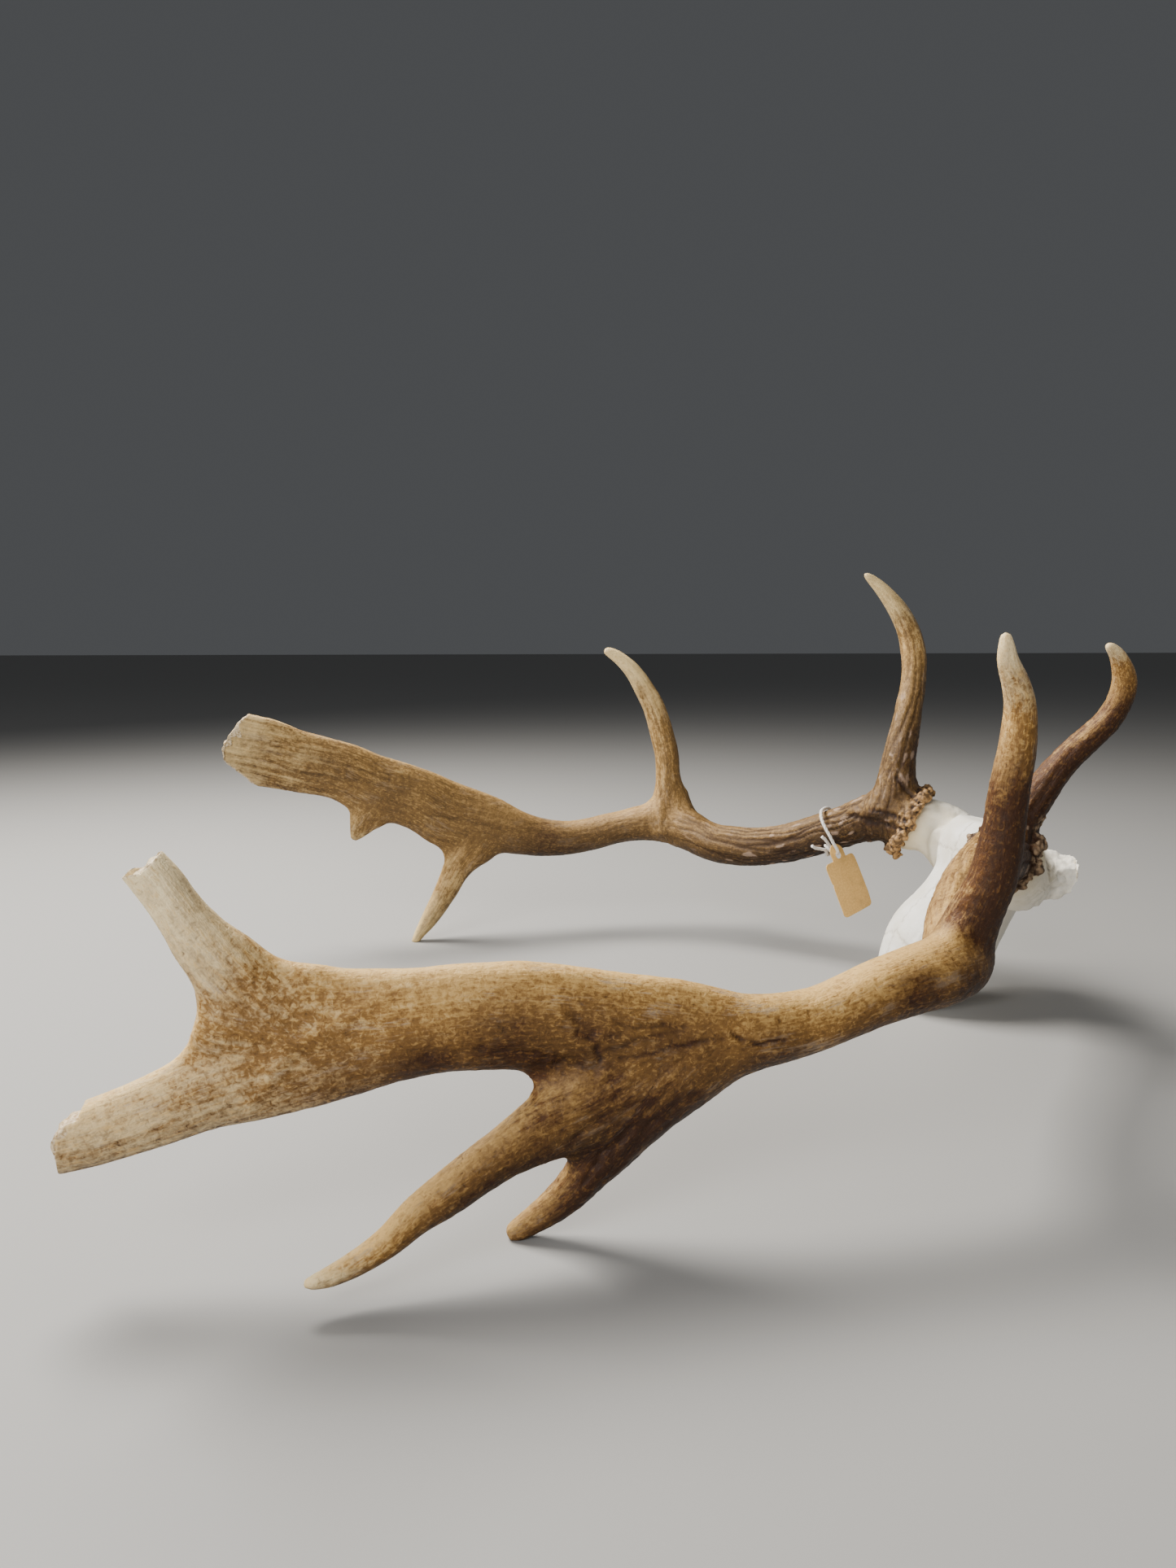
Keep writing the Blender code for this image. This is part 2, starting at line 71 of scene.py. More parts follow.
def unit(vectors):
    vectors = np.asarray(vectors, float)
    return vectors / np.linalg.norm(vectors, axis=-1, keepdims=True)


# ---------------------------------------------------------------- camera

FOCAL_LENGTH_PX = 1337.0
PICTURE_HEIGHT_PX = 1927.0
SENSOR_MM = 36.0
CAMERA_PLACE = Vector((0.0, -572.0, 214.5)) * MM + Vector(MIDDLE)
CAMERA_PITCH = math.radians(7.3938)             # below the horizon
CAMERA_YAW = math.radians(12.6461)              # from +Y towards +X


def add_camera():
    """The photograph's own camera, from its height, pitch and yaw."""
    data = bpy.data.cameras.new("camera")
    data.sensor_width = SENSOR_MM
    data.sensor_fit = "AUTO"
    data.lens = FOCAL_LENGTH_PX * SENSOR_MM / PICTURE_HEIGHT_PX
    data.clip_start = 0.01
    level = math.cos(CAMERA_PITCH)
    ahead = Vector((math.sin(CAMERA_YAW) * level, math.cos(CAMERA_YAW) * level, -math.sin(CAMERA_PITCH)))
    right = Vector((math.cos(CAMERA_YAW), -math.sin(CAMERA_YAW), 0.0))
    turned = Matrix((right, right.cross(ahead), -ahead)).transposed().to_4x4()
    camera = bpy.data.objects.new("camera", data)
    bpy.context.scene.collection.objects.link(camera)
    camera.matrix_world = Matrix.Translation(CAMERA_PLACE) @ turned
    bpy.context.scene.camera = camera


add_camera()

# ---------------------------------------------------------------- the grown limbs

# A burr's middle, the way it faces, its radius and height, and how wide its band of knobs is.
LEFT_BURR = {
    "middle": row_place((356.0, 58.5, 99.7)), "axis": np.array((-0.75, 0.50, 0.44)),
    "radius": 25.0 * MM, "height": 11.0 * MM, "band": 5.5 * MM,
}
LEFT_LIMBS = {
    "beam": [
        (366, 51.5, 93.5, 35, 33), (354, 60, 101, 37, 34), (344, 68, 103, 34, 32),
        (334, 80, 99, 31, 30), (325, 95, 92, 28.5, 28), (315, 107, 85.5, 27.5, 27),
        (304, 120, 79, 27, 27), (292, 134, 73.5, 27.5, 27), (277, 150, 70, 28, 27),
        (261, 166, 71, 29, 27), (247, 182, 77, 30, 27), (234, 195, 81, 30.5, 26),
        (216, 203, 81, 27, 25), (197, 208, 77.5, 24.5, 23), (178, 211, 72.5, 25, 22),
        (160, 213, 70, 26.5, 22), (141, 214, 71, 29, 21), (122, 214, 75.5, 34, 20),
        (101, 214, 82, 44, 19), (73, 214, 90, 50, 18), (50, 213, 103, 46, 17), (21, 212, 113, 46, 16),
        (-4, 210, 125, 43, 15), (-31, 208, 132, 45, 14), (-51, 205, 138.5, 49, 13),
        (-64, 203, 142, 50, 12), (-76, 201.5, 145, 50, 11.5), (-90, 200, 148, 49, 11),
    ],
    "brow_tine": [
        (346, 64, 104, 46, 30), (347, 64.5, 120, 31, 26), (348, 66, 133, 24, 22),
        (352, 69, 148, 21, 20), (356, 72, 160, 19.5, 18.5), (361, 76, 175, 18, 17),
        (365, 80, 189, 17, 16), (367, 84, 205, 17, 15.5), (365, 88, 221, 16, 14.5),
        (358, 91, 236, 14, 12.5), (348, 94, 249, 10.5, 9.5), (340, 95, 256, 7.5, 7),
        (334.5, 95, 260, 4.5, 4.5),
    ],
    "trez_tine": [
        (236, 190, 72, 32, 22), (236, 194, 84, 38, 23), (236.5, 199, 100, 29, 20),
        (235.5, 200.5, 114, 21.5, 18.5), (234.5, 203, 131, 19, 18), (231, 206, 148, 18.5, 17),
        (226, 209, 166, 17, 15.5), (218, 211, 181, 15.5, 13.5), (209, 213, 195, 13, 11.5),
        (198, 215, 205, 10.5, 9.5), (188.5, 215, 209.5, 7, 6.5),
    ],
    "back_tine": [
        (106, 214, 82, 40, 17), (95, 214, 70, 34, 16), (80, 213, 54, 23.5, 15), (67, 210, 31, 17, 13),
        (57, 207, 16, 13.5, 11.5), (48.5, 204.5, 4.5, 8.5, 8), (44.5, 203.8, -2, 6.5, 6.5),
    ],
    "palm_point": [
        (20, 212, 98, 32, 13), (12, 212, 89, 24, 11), (8, 212, 82, 15.5, 9.5), (3.5, 212, 74.5, 6, 5),
    ],
}
RIGHT_BURR = {
    "middle": row_place((345.0, -60.0, 100.5)), "axis": np.array((-0.75, -0.50, 0.44)),
    "radius": 20.8 * MM, "height": 8.5 * MM, "band": 6.5 * MM,
}
RIGHT_LIMBS = {
    "beam": [
        (355, -53, 94.5, 35, 33), (345, -60, 100.5, 36, 34), (336, -68, 103, 33, 32),
        (326, -78, 103, 31.5, 31), (314, -90, 102, 31, 30), (294, -110, 98, 30.5, 29),
        (272, -137, 94, 29.5, 28.5), (252, -166, 90.5, 28.5, 28.5), (239, -189, 88.2, 28.5, 28.5),
        (225, -200, 87.5, 28, 28), (208, -205, 86, 27, 26), (192, -208.5, 83, 24.5, 24.5),
        (175, -211, 78.5, 23.5, 23.5), (160, -212.5, 75.5, 25, 22.5), (145, -213, 74, 28, 22),
        (131, -212.5, 73.5, 34, 21), (110, -211, 77, 38.5, 20), (92, -210, 80, 38, 20),
        (75, -209, 83, 39, 20), (58, -208, 85, 39.5, 20), (41, -207, 85.5, 39.5, 20),
        (24, -206, 84.5, 40, 19.5), (7, -205, 83.5, 43, 19), (-9, -204, 83.5, 47, 18.5),
        (-22, -203.5, 84.5, 48.5, 17.5), (-34, -203, 86, 45, 16.5), (-44, -202.5, 88, 34, 15),
        (-50, -202, 91, 16, 12),
    ],
    "upper_prong": [
        (-12, -204, 82, 30, 18), (-28, -203, 94, 29, 17), (-40, -202, 107, 25, 16),
        (-49.5, -201, 118.5, 21, 15), (-55.5, -200, 127, 18.7, 14), (-60.5, -198.5, 134.8, 18, 13),
        (-65.8, -197.5, 141.8, 16.5, 12), (-71, -197, 149, 16, 11.5),
    ],
    "lower_prong": [
        (24, -205.5, 82.5, 32, 18), (6, -205, 80.5, 38, 18.5), (-10, -204, 77, 39, 18),
        (-27, -203, 71.5, 37, 17.5), (-46, -202, 66, 30, 17), (-63, -201, 60, 27, 16),
        (-77, -200, 55, 24.5, 15), (-87, -200, 52.3, 23.5, 14.5), (-95, -200, 51, 23.5, 14),
        (-106, -200, 49.5, 23.5, 13.5),
    ],
    "long_tine": [
        (110, -211, 67, 36, 19), (88, -212, 54, 33, 18), (67, -214, 46.5, 26, 17),
        (51, -218, 40.5, 19, 16), (39, -221, 35, 17, 15), (29, -224, 30, 16, 14),
        (19, -226, 25, 13.5, 12.5), (10, -229, 19, 11.5, 11), (1, -231, 14.5, 10, 9.5),
        (-8, -233, 11.5, 8.5, 8), (-14, -234, 10.5, 6.8, 6.5), (-19.5, -234.5, 10, 4.5, 4.5),
    ],
    "short_tine": [
        (126.6, -213, 70, 33.2, 19), (111.3, -213, 58.8, 31.6, 18), (97, -212, 45, 26, 17),
        (88.5, -210.5, 34, 21, 15), (82.3, -209.8, 27, 18, 14), (76, -208.8, 19, 15.5, 12.5),
        (69.5, -207.3, 12.6, 13.6, 11.5), (63, -205.8, 7.6, 11.5, 10), (57, -204.5, 3.5, 9.5, 8.5),
        (52.5, -203.7, 0.5, 7.5, 7),
    ],
    "trez_tine": [
        (239, -189.5, 90, 28.5, 26.5), (240, -195, 104, 23, 21), (244, -201, 122, 19.5, 19),
        (246, -204, 140, 17, 17), (246, -206, 153, 16, 16), (246, -208, 164, 15.2, 15),
        (247, -209, 173, 14.7, 14.5), (247, -210, 183, 13.7, 13.5), (246, -211, 192, 12.4, 12),
        (242, -213, 201, 10.5, 10.5), (238, -214, 208, 8.8, 8.5), (236.5, -215, 214, 7.4, 7.2),
        (235.7, -215, 219.5, 5, 5),
    ],
    "brow_tine": [
        (342, -61, 105, 34, 28), (348.5, -63, 118, 24, 22), (356, -66, 131, 19, 18),
        (365, -69, 146, 16.5, 16), (373, -71, 156, 15.5, 15), (381, -73, 164, 14.5, 14.5),
        (390, -76, 174, 14, 14), (394, -79, 184, 14, 13.5), (395, -81, 194, 13.5, 12.5),
        (391, -83, 203, 11, 10.5), (385, -85, 210, 8.2, 8), (378.5, -86, 214, 5, 5),
    ],
}
PEDICLE_REACH = 3.0                             # millimetres a pedicle runs on past its burr


def pedicle(stations, burr):
    """A pedicle's stations, run on past its burr, where it is cut off again."""
    *middle, width, depth = stations[-1]
    return stations + [(*(np.array(middle) + PEDICLE_REACH * burr["axis"]), width, depth)]


# The braincase and forehead, the two pedicles, and the two sockets' rims.
SKULL_LIMBS = [
    [
        (337, 0, -1.5, 10, 12), (336, 0, 4, 34, 34), (335, 0, 16, 57, 54), (345, 0, 36, 62, 64),
        (358, 0, 55, 52, 61), (368, 0, 73, 45, 64), (372, 0, 89, 44, 76), (374, 0, 100, 39, 76),
        (375, 0, 108.5, 23, 60),
    ],
    pedicle([
        (380, 36, 82, 42, 34), (373, 45.5, 93, 39, 34), (363, 53.5, 98.5, 34.5, 33),
        (356, 58.5, 99.7, 37, 37),
    ], LEFT_BURR),
    pedicle([
        (374, -36, 82, 42, 34), (364, -46, 89, 38, 34), (352, -55, 96.5, 35, 34),
        (345, -60, 100.5, 38, 37),
    ], RIGHT_BURR),
    [
        (360, -28, 84, 36, 22), (372, -39, 87, 31, 18), (383, -46, 86.5, 29, 15), (392, -51, 86, 29, 14),
        (400, -55, 85.5, 28, 13),
    ],
    [
        (362, 28, 84, 36, 22), (374, 38, 87, 31, 18), (385, 45, 86.5, 28, 15), (395, 49, 86, 28, 14),
        (402, 52, 85.5, 27, 13),
    ],
]
# The ridged ends left where the eye sockets broke away, as (point, the way the break faces, reach).
SOCKET_BREAKS = [
    ((391.4, -52.0, 96.0), (0.99, 0.0, -0.12), 34.0), ((385.6, -52.0, 73.4), (0.75, 0.0, -0.66), 22.0),
    ((391.0, -52.0, 97.2), (0.32, 0.0, 0.947), 18.0), ((386.0, -57.0, 90.0), (-0.40, -0.46, 0.79), 25.0),
    ((393.5, 50.0, 94.5), (0.96, 0.0, -0.28), 34.0), ((388.0, 50.0, 74.0), (0.6, 0.0, -0.8), 22.0),
]
SAW_POINT = row_place((343.0, 0.0, 4.0))
SAW_NORMAL = np.array((0.846, 0.0, -0.533))
BRAIN_CENTRE = row_place((364.0, 0.0, 38.0))
BRAIN_RADII = (25.0 * MM, 20.0 * MM, 24.5 * MM)

RING_POINTS = 28                                # round a limb
COARSE_STEPS, FINE_STEPS = 4, 12                # between stations: for a limb's skin, and for all else
COARSE_CELL, COARSE_SMOOTHING = 1.9 * MM, 4     # the first skin, which fills the forks
FINE_CELL, FINE_SMOOTHING = 1.05 * MM, 3        # the skin that carries the surface's own relief
BONE_SMOOTHING = 2
FOOT_GAP = 0.3 * MM                             # between a burr's flat foot and its pedicle
LOOKUP_ROWS = 16384                             # points whose nearest station is looked up at a time

# How far a fork's corner is filled, in millimetres: all round, and more at some of the corners, each
# given as (place, reach, more). The skin is grown this much larger, made whole and shrunk again.
FORK_FILL = 2.5
CORNER_CORE = 0.25                              # the share of a corner's reach that is filled in full
SHRINK_ROUNDS = 4
FORK_CORNERS = {
    "left": [
        ((324, 73, 117), 40.0, 9.0), ((216, 200, 96), 36.0, 7.0), ((253, 193, 96), 46.0, 13.0),
        ((64, 213, 66), 34.0, 6.0), ((94, 213, 53), 30.0, 6.0), ((-6, 211, 97), 26.0, 2.5),
        ((18, 212, 82), 24.0, 3.0),
    ],
    "right": [
        ((-54, -203, 98), 52.0, 11.0), ((-25, -203, 112), 46.0, 9.0), ((1, -204, 59), 46.0, 8.0),
        ((60, -211, 58), 26.0, 1.5), ((224, -196, 108), 40.0, 7.0),
        ((326, -66, 120), 34.0, 6.0), ((356, -62, 112), 30.0, 4.0), ((136, -212, 54), 24.0, 2.5),
    ],
}


def travel_along(path):
    """How far along a path of points each of them is."""
    return np.concatenate(((0.0,), np.cumsum(np.linalg.norm(np.diff(path, axis=0), axis=1))))


def smooth_rows(stations, steps):
    """Catmull-Rom values between the stations of a limb."""
    rows = np.array(stations, float)
    ends = np.vstack((rows[:1], rows, rows[-1:]))
    a, b, c, d = (ends[i:len(ends) - 3 + i] for i in range(4))
    t = (np.arange(steps) / steps).reshape(-1, 1, 1)
    curve = b + 0.5 * t * (c - a + t * (2 * a - 5 * b + 4 * c - d + t * (3 * (b - c) + d - a)))
    return np.vstack((curve.swapaxes(0, 1).reshape(-1, rows.shape[1]), rows[-1:]))


class Limb:
    """A limb's smoothed middle line, its frames and its two half diameters, in metres."""

    def __init__(self, stations, steps):
        rows = smooth_rows(stations, steps) * MM
        self.middles = rows[:, :3] + MIDDLE
        self.half_width, self.half_depth = rows[:, 3] / 2, rows[:, 4] / 2
        ahead = np.vstack((self.middles[1:], self.middles[-1:]))
        behind = np.vstack((self.middles[:1], self.middles[:-1]))
        self.along = unit(ahead - behind)
        self.across = unit(np.cross(self.along, (0.0, 1.0, 0.0)))
        self.sideways = np.cross(self.across, self.along)
        self.travel = travel_along(self.middles)

    def tube(self):
        """Rings of points round the limb and the faces of the closed tube through them."""
        angles = 2 * math.pi * np.arange(RING_POINTS) / RING_POINTS
        points = (
            self.middles[:, None]
            + np.cos(angles)[None, :, None] * (self.across * self.half_width[:, None])[:, None]
            + np.sin(angles)[None, :, None] * (self.sideways * self.half_depth[:, None])[:, None]
        )
        return points.reshape(-1, 3), tube_faces(len(self.middles), RING_POINTS)

    def straighten(self, points):
        """Each point's place in the limb as if it were straight, and 1 where it is on its surface."""
        nearest = np.empty(len(points), int)
        squares = (self.middles ** 2).sum(1)
        for start in range(0, len(points), LOOKUP_ROWS):
            some = points[start:start + LOOKUP_ROWS]
            nearest[start:start + LOOKUP_ROWS] = (squares - 2 * some @ self.middles.T).argmin(1)
        offset = points - self.middles[nearest]
        ahead, across, sideways = (
            (offset * axes[nearest]).sum(1) for axes in (self.along, self.across, self.sideways)
        )
        travelled = self.travel[nearest] + ahead
        beyond = np.maximum(travelled - self.travel[-1], 0) + np.maximum(-travelled, 0)
        closeness = np.sqrt(
            (across / self.half_width[nearest]) ** 2
            + (sideways / self.half_depth[nearest]) ** 2
            + (beyond / self.half_width[nearest]) ** 2
        )
        return np.stack((travelled, across, sideways), axis=1), closeness


def tube_faces(rings, count):
    """The faces of a closed tube of equal rings, with flat ends."""
    faces = []
    for ring in range(rings - 1):
        for i in range(count):
            j = (i + 1) % count
            faces.append((ring * count + i, ring * count + j, (ring + 1) * count + j, (ring + 1) * count + i))
    faces.append(tuple(range(count))[::-1])
    faces.append(tuple(range((rings - 1) * count, rings * count)))
    return faces


def joined(shells):
    """Several (points, faces) shells as one."""
    points, faces, start = [], [], 0
    for some_points, some_faces in shells:
        points.append(some_points)
        faces.extend(tuple(start + i for i in face) for face in some_faces)
        start += len(some_points)
    return np.vstack(points), faces


def shell_of(thing):
    """An object's own points and faces."""
    return points_of(thing.data), [tuple(face.vertices) for face in thing.data.polygons]


def new_object(name, data):
    """A new object in the scene, at the origin."""
    thing = bpy.data.objects.new(name, data)
    bpy.context.scene.collection.objects.link(thing)
    return thing


def mesh_object(name, points, faces):
    """A mesh object with its faces turned outwards."""
    mesh = bpy.data.meshes.new(name)
    mesh.from_pydata([tuple(point) for point in points], [], faces)
    shell = bmesh.new()
    shell.from_mesh(mesh)
    bmesh.ops.recalc_face_normals(shell, faces=shell.faces)
    shell.to_mesh(mesh)
    shell.free()
    return new_object(name, mesh)


def settle(thing):
    """Makes an object's modifiers part of its mesh."""
    graph = bpy.context.evaluated_depsgraph_get()
    mesh = bpy.data.meshes.new_from_object(thing.evaluated_get(graph))
    thing.modifiers.clear()
    thing.data = mesh


def skin(thing, cell, smoothing):
    """Grows one even skin over the overlapping shells of an object."""
    remesh = thing.modifiers.new("one_skin", "REMESH")
    remesh.mode = "VOXEL"
    remesh.voxel_size = cell
    smooth = thing.modifiers.new("even_out", "SMOOTH")
    smooth.factor = 0.5
    smooth.iterations = smoothing
    settle(thing)


def fork_fill(points, corners):
    """How far the skin is grown and shrunk again at each point, in metres."""
    fill = np.full(len(points), FORK_FILL)
    for place, reach, more in corners:
        near = 1 - fade(from_place(points, place), CORNER_CORE * reach, reach)
        fill = np.maximum(fill, FORK_FILL + more * near)
    return fill * MM


def ease_forks(thing, corners):
    """Fills the corners of the forks, so that they turn softly."""
    mesh = thing.data
    points = points_of(mesh)
    set_points(mesh, points + normals_of(mesh) * fork_fill(points, corners)[:, None], free=True)
    skin(thing, COARSE_CELL, COARSE_SMOOTHING)
    mesh = thing.data
    grown, normals = points_of(mesh), normals_of(mesh)
    points = grown - normals * FORK_FILL * MM
    for _ in range(SHRINK_ROUNDS):              # a point shrinks by the fill of the place it ends in
        points = grown - normals * fork_fill(points, corners)[:, None]
    set_points(mesh, points, free=True)


def slice_off(thing, point, normal):
    """Cuts away what lies on the normal's side of a plane and closes the cut."""
    shell = bmesh.new()
    shell.from_mesh(thing.data)
    everything = shell.verts[:] + shell.edges[:] + shell.faces[:]
    cut = bmesh.ops.bisect_plane(
        shell, geom=everything, plane_co=Vector(point), plane_no=Vector(normal), clear_outer=True
    )
    rim = [item for item in cut["geom_cut"] if isinstance(item, bmesh.types.BMEdge)]
    bmesh.ops.triangle_fill(shell, edges=rim, use_beauty=True)
    bmesh.ops.recalc_face_normals(shell, faces=shell.faces)
    shell.to_mesh(thing.data)
    shell.free()


def points_of(mesh):
    """A mesh's points as rows of (x, y, z)."""
    points = np.empty(len(mesh.vertices) * 3)
    mesh.vertices.foreach_get("co", points)
    return points.reshape(-1, 3)


def normals_of(mesh):
    normals = np.empty(len(mesh.vertices) * 3)
    mesh.vertex_normals.foreach_get("vector", normals)
    return normals.reshape(-1, 3)


def set_points(mesh, points, free=False):
    """Moves a mesh's points, keeping them inside the part's box and above the surface unless free."""
    if not free:
        points = np.clip(points, BOX_LOW + (BOX_INSET, BOX_INSET, 0.0), BOX_HIGH - BOX_INSET)
    mesh.vertices.foreach_set("co", points.ravel())
    mesh.update()


def smoothed(mesh, rounds, share=0.6):
    """A mesh's points after rounds of moving each one a share of the way to its neighbours' middle."""
    edges = np.empty(len(mesh.edges) * 2, int)
    mesh.edges.foreach_get("vertices", edges)
    a, b = edges.reshape(-1, 2).T
    points = points_of(mesh)
    count = len(points)
    neighbours = np.bincount(a, minlength=count) + np.bincount(b, minlength=count)
    for _ in range(rounds):
        around = np.stack([
            np.bincount(a, points[b, i], count) + np.bincount(b, points[a, i], count) for i in range(3)
        ], axis=1) / neighbours[:, None]
        points = (1 - share) * points + share * around
    return points


def relax(mesh, where, rounds):
    """Softens a mesh where the given share is above 0."""
    points = points_of(mesh)
    set_points(mesh, points + (smoothed(mesh, rounds) - points) * where[:, None])


def stand_out(mesh):
    """How far each point stands out of its neighbourhood, in half millimetres; hollows are negative."""
    return ((points_of(mesh) - smoothed(mesh, 8)) * normals_of(mesh)).sum(1) / (0.5 * MM)


def store(mesh, **layers):
    """Keeps numbers or vectors for the points of a mesh, under their names, for its material to read."""
    for name, values in layers.items():
        kind, key = ("FLOAT_VECTOR", "vector") if values.ndim == 2 else ("FLOAT", "value")
        mesh.attributes.new(name, kind, "POINT").data.foreach_set(key, values.ravel())


def coat(thing, material):
    """Gives a finished piece its one material."""
    thing.data.shade_smooth()
    thing.data.materials.clear()
    thing.data.materials.append(material)


# ---------------------------------------------------------------- relief

FAR_FROM_PATH = 9.0                             # millimetres, past which a line or a notch has no effect


def noise(points, seed):
    """Smooth gradient noise, about -1 to 1, with one cell for each unit of the points.

    Large odd numbers mix each cell corner's place and the seed into 32 bits, and ten of those bits
    are taken for each part of the corner's slope, from -1 to 1.
    """
    cell = np.floor(points).astype(np.int64)
    inside = points - cell
    eased = inside ** 3 * (inside * (inside * 6 - 15) + 10)
    total = np.zeros(len(points))
    for corner in np.ndindex(2, 2, 2):
        at = cell + corner
        bits = (at[:, 0] * 73856093) ^ (at[:, 1] * 19349663) ^ (at[:, 2] * 83492791) ^ (seed * 40503 + 977)
        bits = ((bits ^ (bits >> 15)) * 2246822519) & 0xFFFFFFFF
        bits = ((bits ^ (bits >> 13)) * 3266489917) & 0xFFFFFFFF
        bits ^= bits >> 16
        slope = np.stack([(bits >> shift) & 1023 for shift in (0, 10, 20)], axis=1) / 511.5 - 1.0
        weight = np.prod(np.where(corner, eased, 1 - eased), axis=1)
        total += weight * (slope * (inside - corner)).sum(1)
    return 1.7 * total


def noise_at(points, cell_mm, seed):
    """Noise with one cell for each given number of millimetres."""
    return noise(points / (cell_mm * MM), seed)


def fade(values, start, end):
    """0 before start, 1 after end and smooth between them."""
    t = np.clip((values - start) / (end - start), 0.0, 1.0)
    return t * t * (3 - 2 * t)


def from_place(points, place):
    """Each point's distance from a place, both in millimetres."""
    return np.linalg.norm(points - np.array(place) * MM - MIDDLE, axis=1) / MM


def near_path(points, path):
    """Each point's distance from a path of (x, z) places, in millimetres, seen from the side."""
    flat = (points - MIDDLE)[:, (0, 2)] / MM
    best = np.full(len(points), FAR_FROM_PATH)
    for a, b in zip(path, path[1:]):
        a, b = np.array(a), np.array(b)
        t = np.clip((flat - a) @ (b - a) / max((b - a) @ (b - a), 1e-9), 0.0, 1.0)
        best = np.minimum(best, np.linalg.norm(flat - (a + t[:, None] * (b - a)), axis=1))
    return best


# How furrowed a limb is, as (distance along it in millimetres, share of the full relief).
FURROWS = {
    "left": {
        "beam": (
            (0, 0.5), (30, 0.8), (50, 1.0), (90, 1.0), (150, 0.75), (220, 0.35), (300, 0.2), (600, 0.18),
        ),
        "brow_tine": ((0, 0.4), (25, 0.6), (60, 0.75), (110, 0.3), (170, 0.0)),
        "trez_tine": ((0, 0.4), (60, 0.25), (130, 0.0)),
        "back_tine": ((0, 0.2), (60, 0.1), (120, 0.0)),
        "palm_point": ((0, 0.1), (40, 0.1)),
    },
    "right": {
        "beam": ((0, 0.9), (80, 0.7), (150, 0.35), (200, 0.15), (330, 0.15), (420, 0.12), (600, 0.1)),
        "upper_prong": ((0, 0.12), (80, 0.1)),
        "lower_prong": ((0, 0.12), (80, 0.1)),
        "long_tine": ((0, 0.25), (60, 0.15), (150, 0.0)),
        "short_tine": ((0, 0.1), (30, 0.3), (45, 0.5), (70, 0.1), (110, 0.0)),
        "trez_tine": ((0, 0.16), (50, 0.12), (100, 0.05), (140, 0.0)),
        "brow_tine": ((0, 0.9), (50, 0.4), (110, 0.1), (150, 0.0)),
    },
}
# How pale a limb is worn, or below 0 how dark it is, by real stain and painted shade together, as
# (distance along it, share).
PALENESS_AND_SHADE = {
    "left": {
        "beam": (
            (0, -0.60), (45, -0.70), (110, -0.78), (160, -0.60), (240, -0.40), (300, -0.70),
            (340, -0.40), (375, -0.08), (430, 0.0), (500, 0.2), (560, 0.65), (620, 1.5),
        ),
        "brow_tine": ((0, -0.85), (50, -0.75), (80, -0.45), (110, 0.0), (135, 0.35), (165, 0.8)),
        "trez_tine": ((0, -0.2), (50, 0.0), (80, 0.1), (110, 0.4), (140, 0.9)),
        "back_tine": ((0, -0.1), (60, 0.2), (85, 0.55), (110, 0.8)),
        "palm_point": ((0, 0.0), (30, 0.35)),
    },
    "right": {
        "beam": (
            (0, -0.9), (60, -0.85), (120, -0.8), (155, -0.50), (190, -0.40), (240, -0.15), (400, 0.05),
            (520, 0.2), (600, 0.35),
        ),
        "upper_prong": ((0, 0.1), (35, 0.3), (60, 0.65), (85, 1.0)),
        "lower_prong": ((0, 0.0), (40, 0.2), (70, 0.35), (110, 0.35)),
        "long_tine": ((0, -0.3), (50, -0.7), (85, -0.7), (112, -0.1), (150, 0.8)),
        "short_tine": ((0, -0.4), (40, -1.3), (60, -1.2), (85, -0.8), (102, -0.5), (118, 0.2)),
        "trez_tine": ((0, -1.3), (55, -1.5), (75, -0.9), (98, 0.0), (130, 0.7)),
        "brow_tine": ((0, -1.6), (60, -1.4), (95, -0.9), (116, -0.1), (128, 0.55), (145, 1.0)),
    },
}
RELIEF_SEEDS = {"left": 11, "right": 29}
FURROW_DEPTH, PEARL_HEIGHT, STRIATION_HEIGHT, SWELL_HEIGHT = 1.25 * MM, 0.55 * MM, 0.14 * MM, 0.30 * MM
PIMPLE_HEIGHT, STAIN_AND_SHADE_GRAIN_HEIGHT, CRUST_HEIGHT = 0.30 * MM, 0.22 * MM, 0.90 * MM
PIMPLES_FADE = 28 * MM, 62 * MM                 # where the pimples near a burr begin and end to fade
FURROW_CELL = np.array((60.0, 5.2, 5.2)) * MM   # along the limb and, twice, across it
PEARL_CELL = np.array((9.0, 3.6, 3.6)) * MM
STRIATION_CELL = np.array((26.0, 2.4, 2.4)) * MM
BREAK_CELL = np.array((5.5, 26.0, 5.5)) * MM    # a break's notches run through the antler's thickness
KEY_LAMP_SIDE = np.array((-0.45, 0.0, 0.89))   # the side that faces the key lamp: painted lighter, and the side away painted in shade
BLEND_SHARPNESS = 4.5                           # how quickly a tine's grain takes over at its fork

# Broken ends: a point of the break, the way it faces, its reach and how ragged it is, in millimetres.
BREAKS = {
    "left": [
        ((-66.5, 203.0, 164.0), (-0.76, 0.0, 0.65), 26.0, 1.2),
        ((-79.5, 202.0, 146.0), (-0.92, 0.0, 0.39), 26.0, 2.8),
        ((-80.5, 202.0, 140.0), (-1.0, 0.0, -0.1), 26.0, 1.4),
        ((-71.0, 203.0, 127.0), (-0.69, 0.0, -0.72), 34.0, 1.2),
    ],
    "right": [
        ((-66.3, -197.0, 141.6), (-0.55, 0.0, 0.835), 16.0, 1.6),
        ((-96.4, -200.0, 47.0), (-0.98, 0.0, -0.12), 22.0, 1.2),
        ((-94.7, -200.0, 56.3), (-0.756, 0.0, 0.654), 18.0, 1.4),
    ],
}
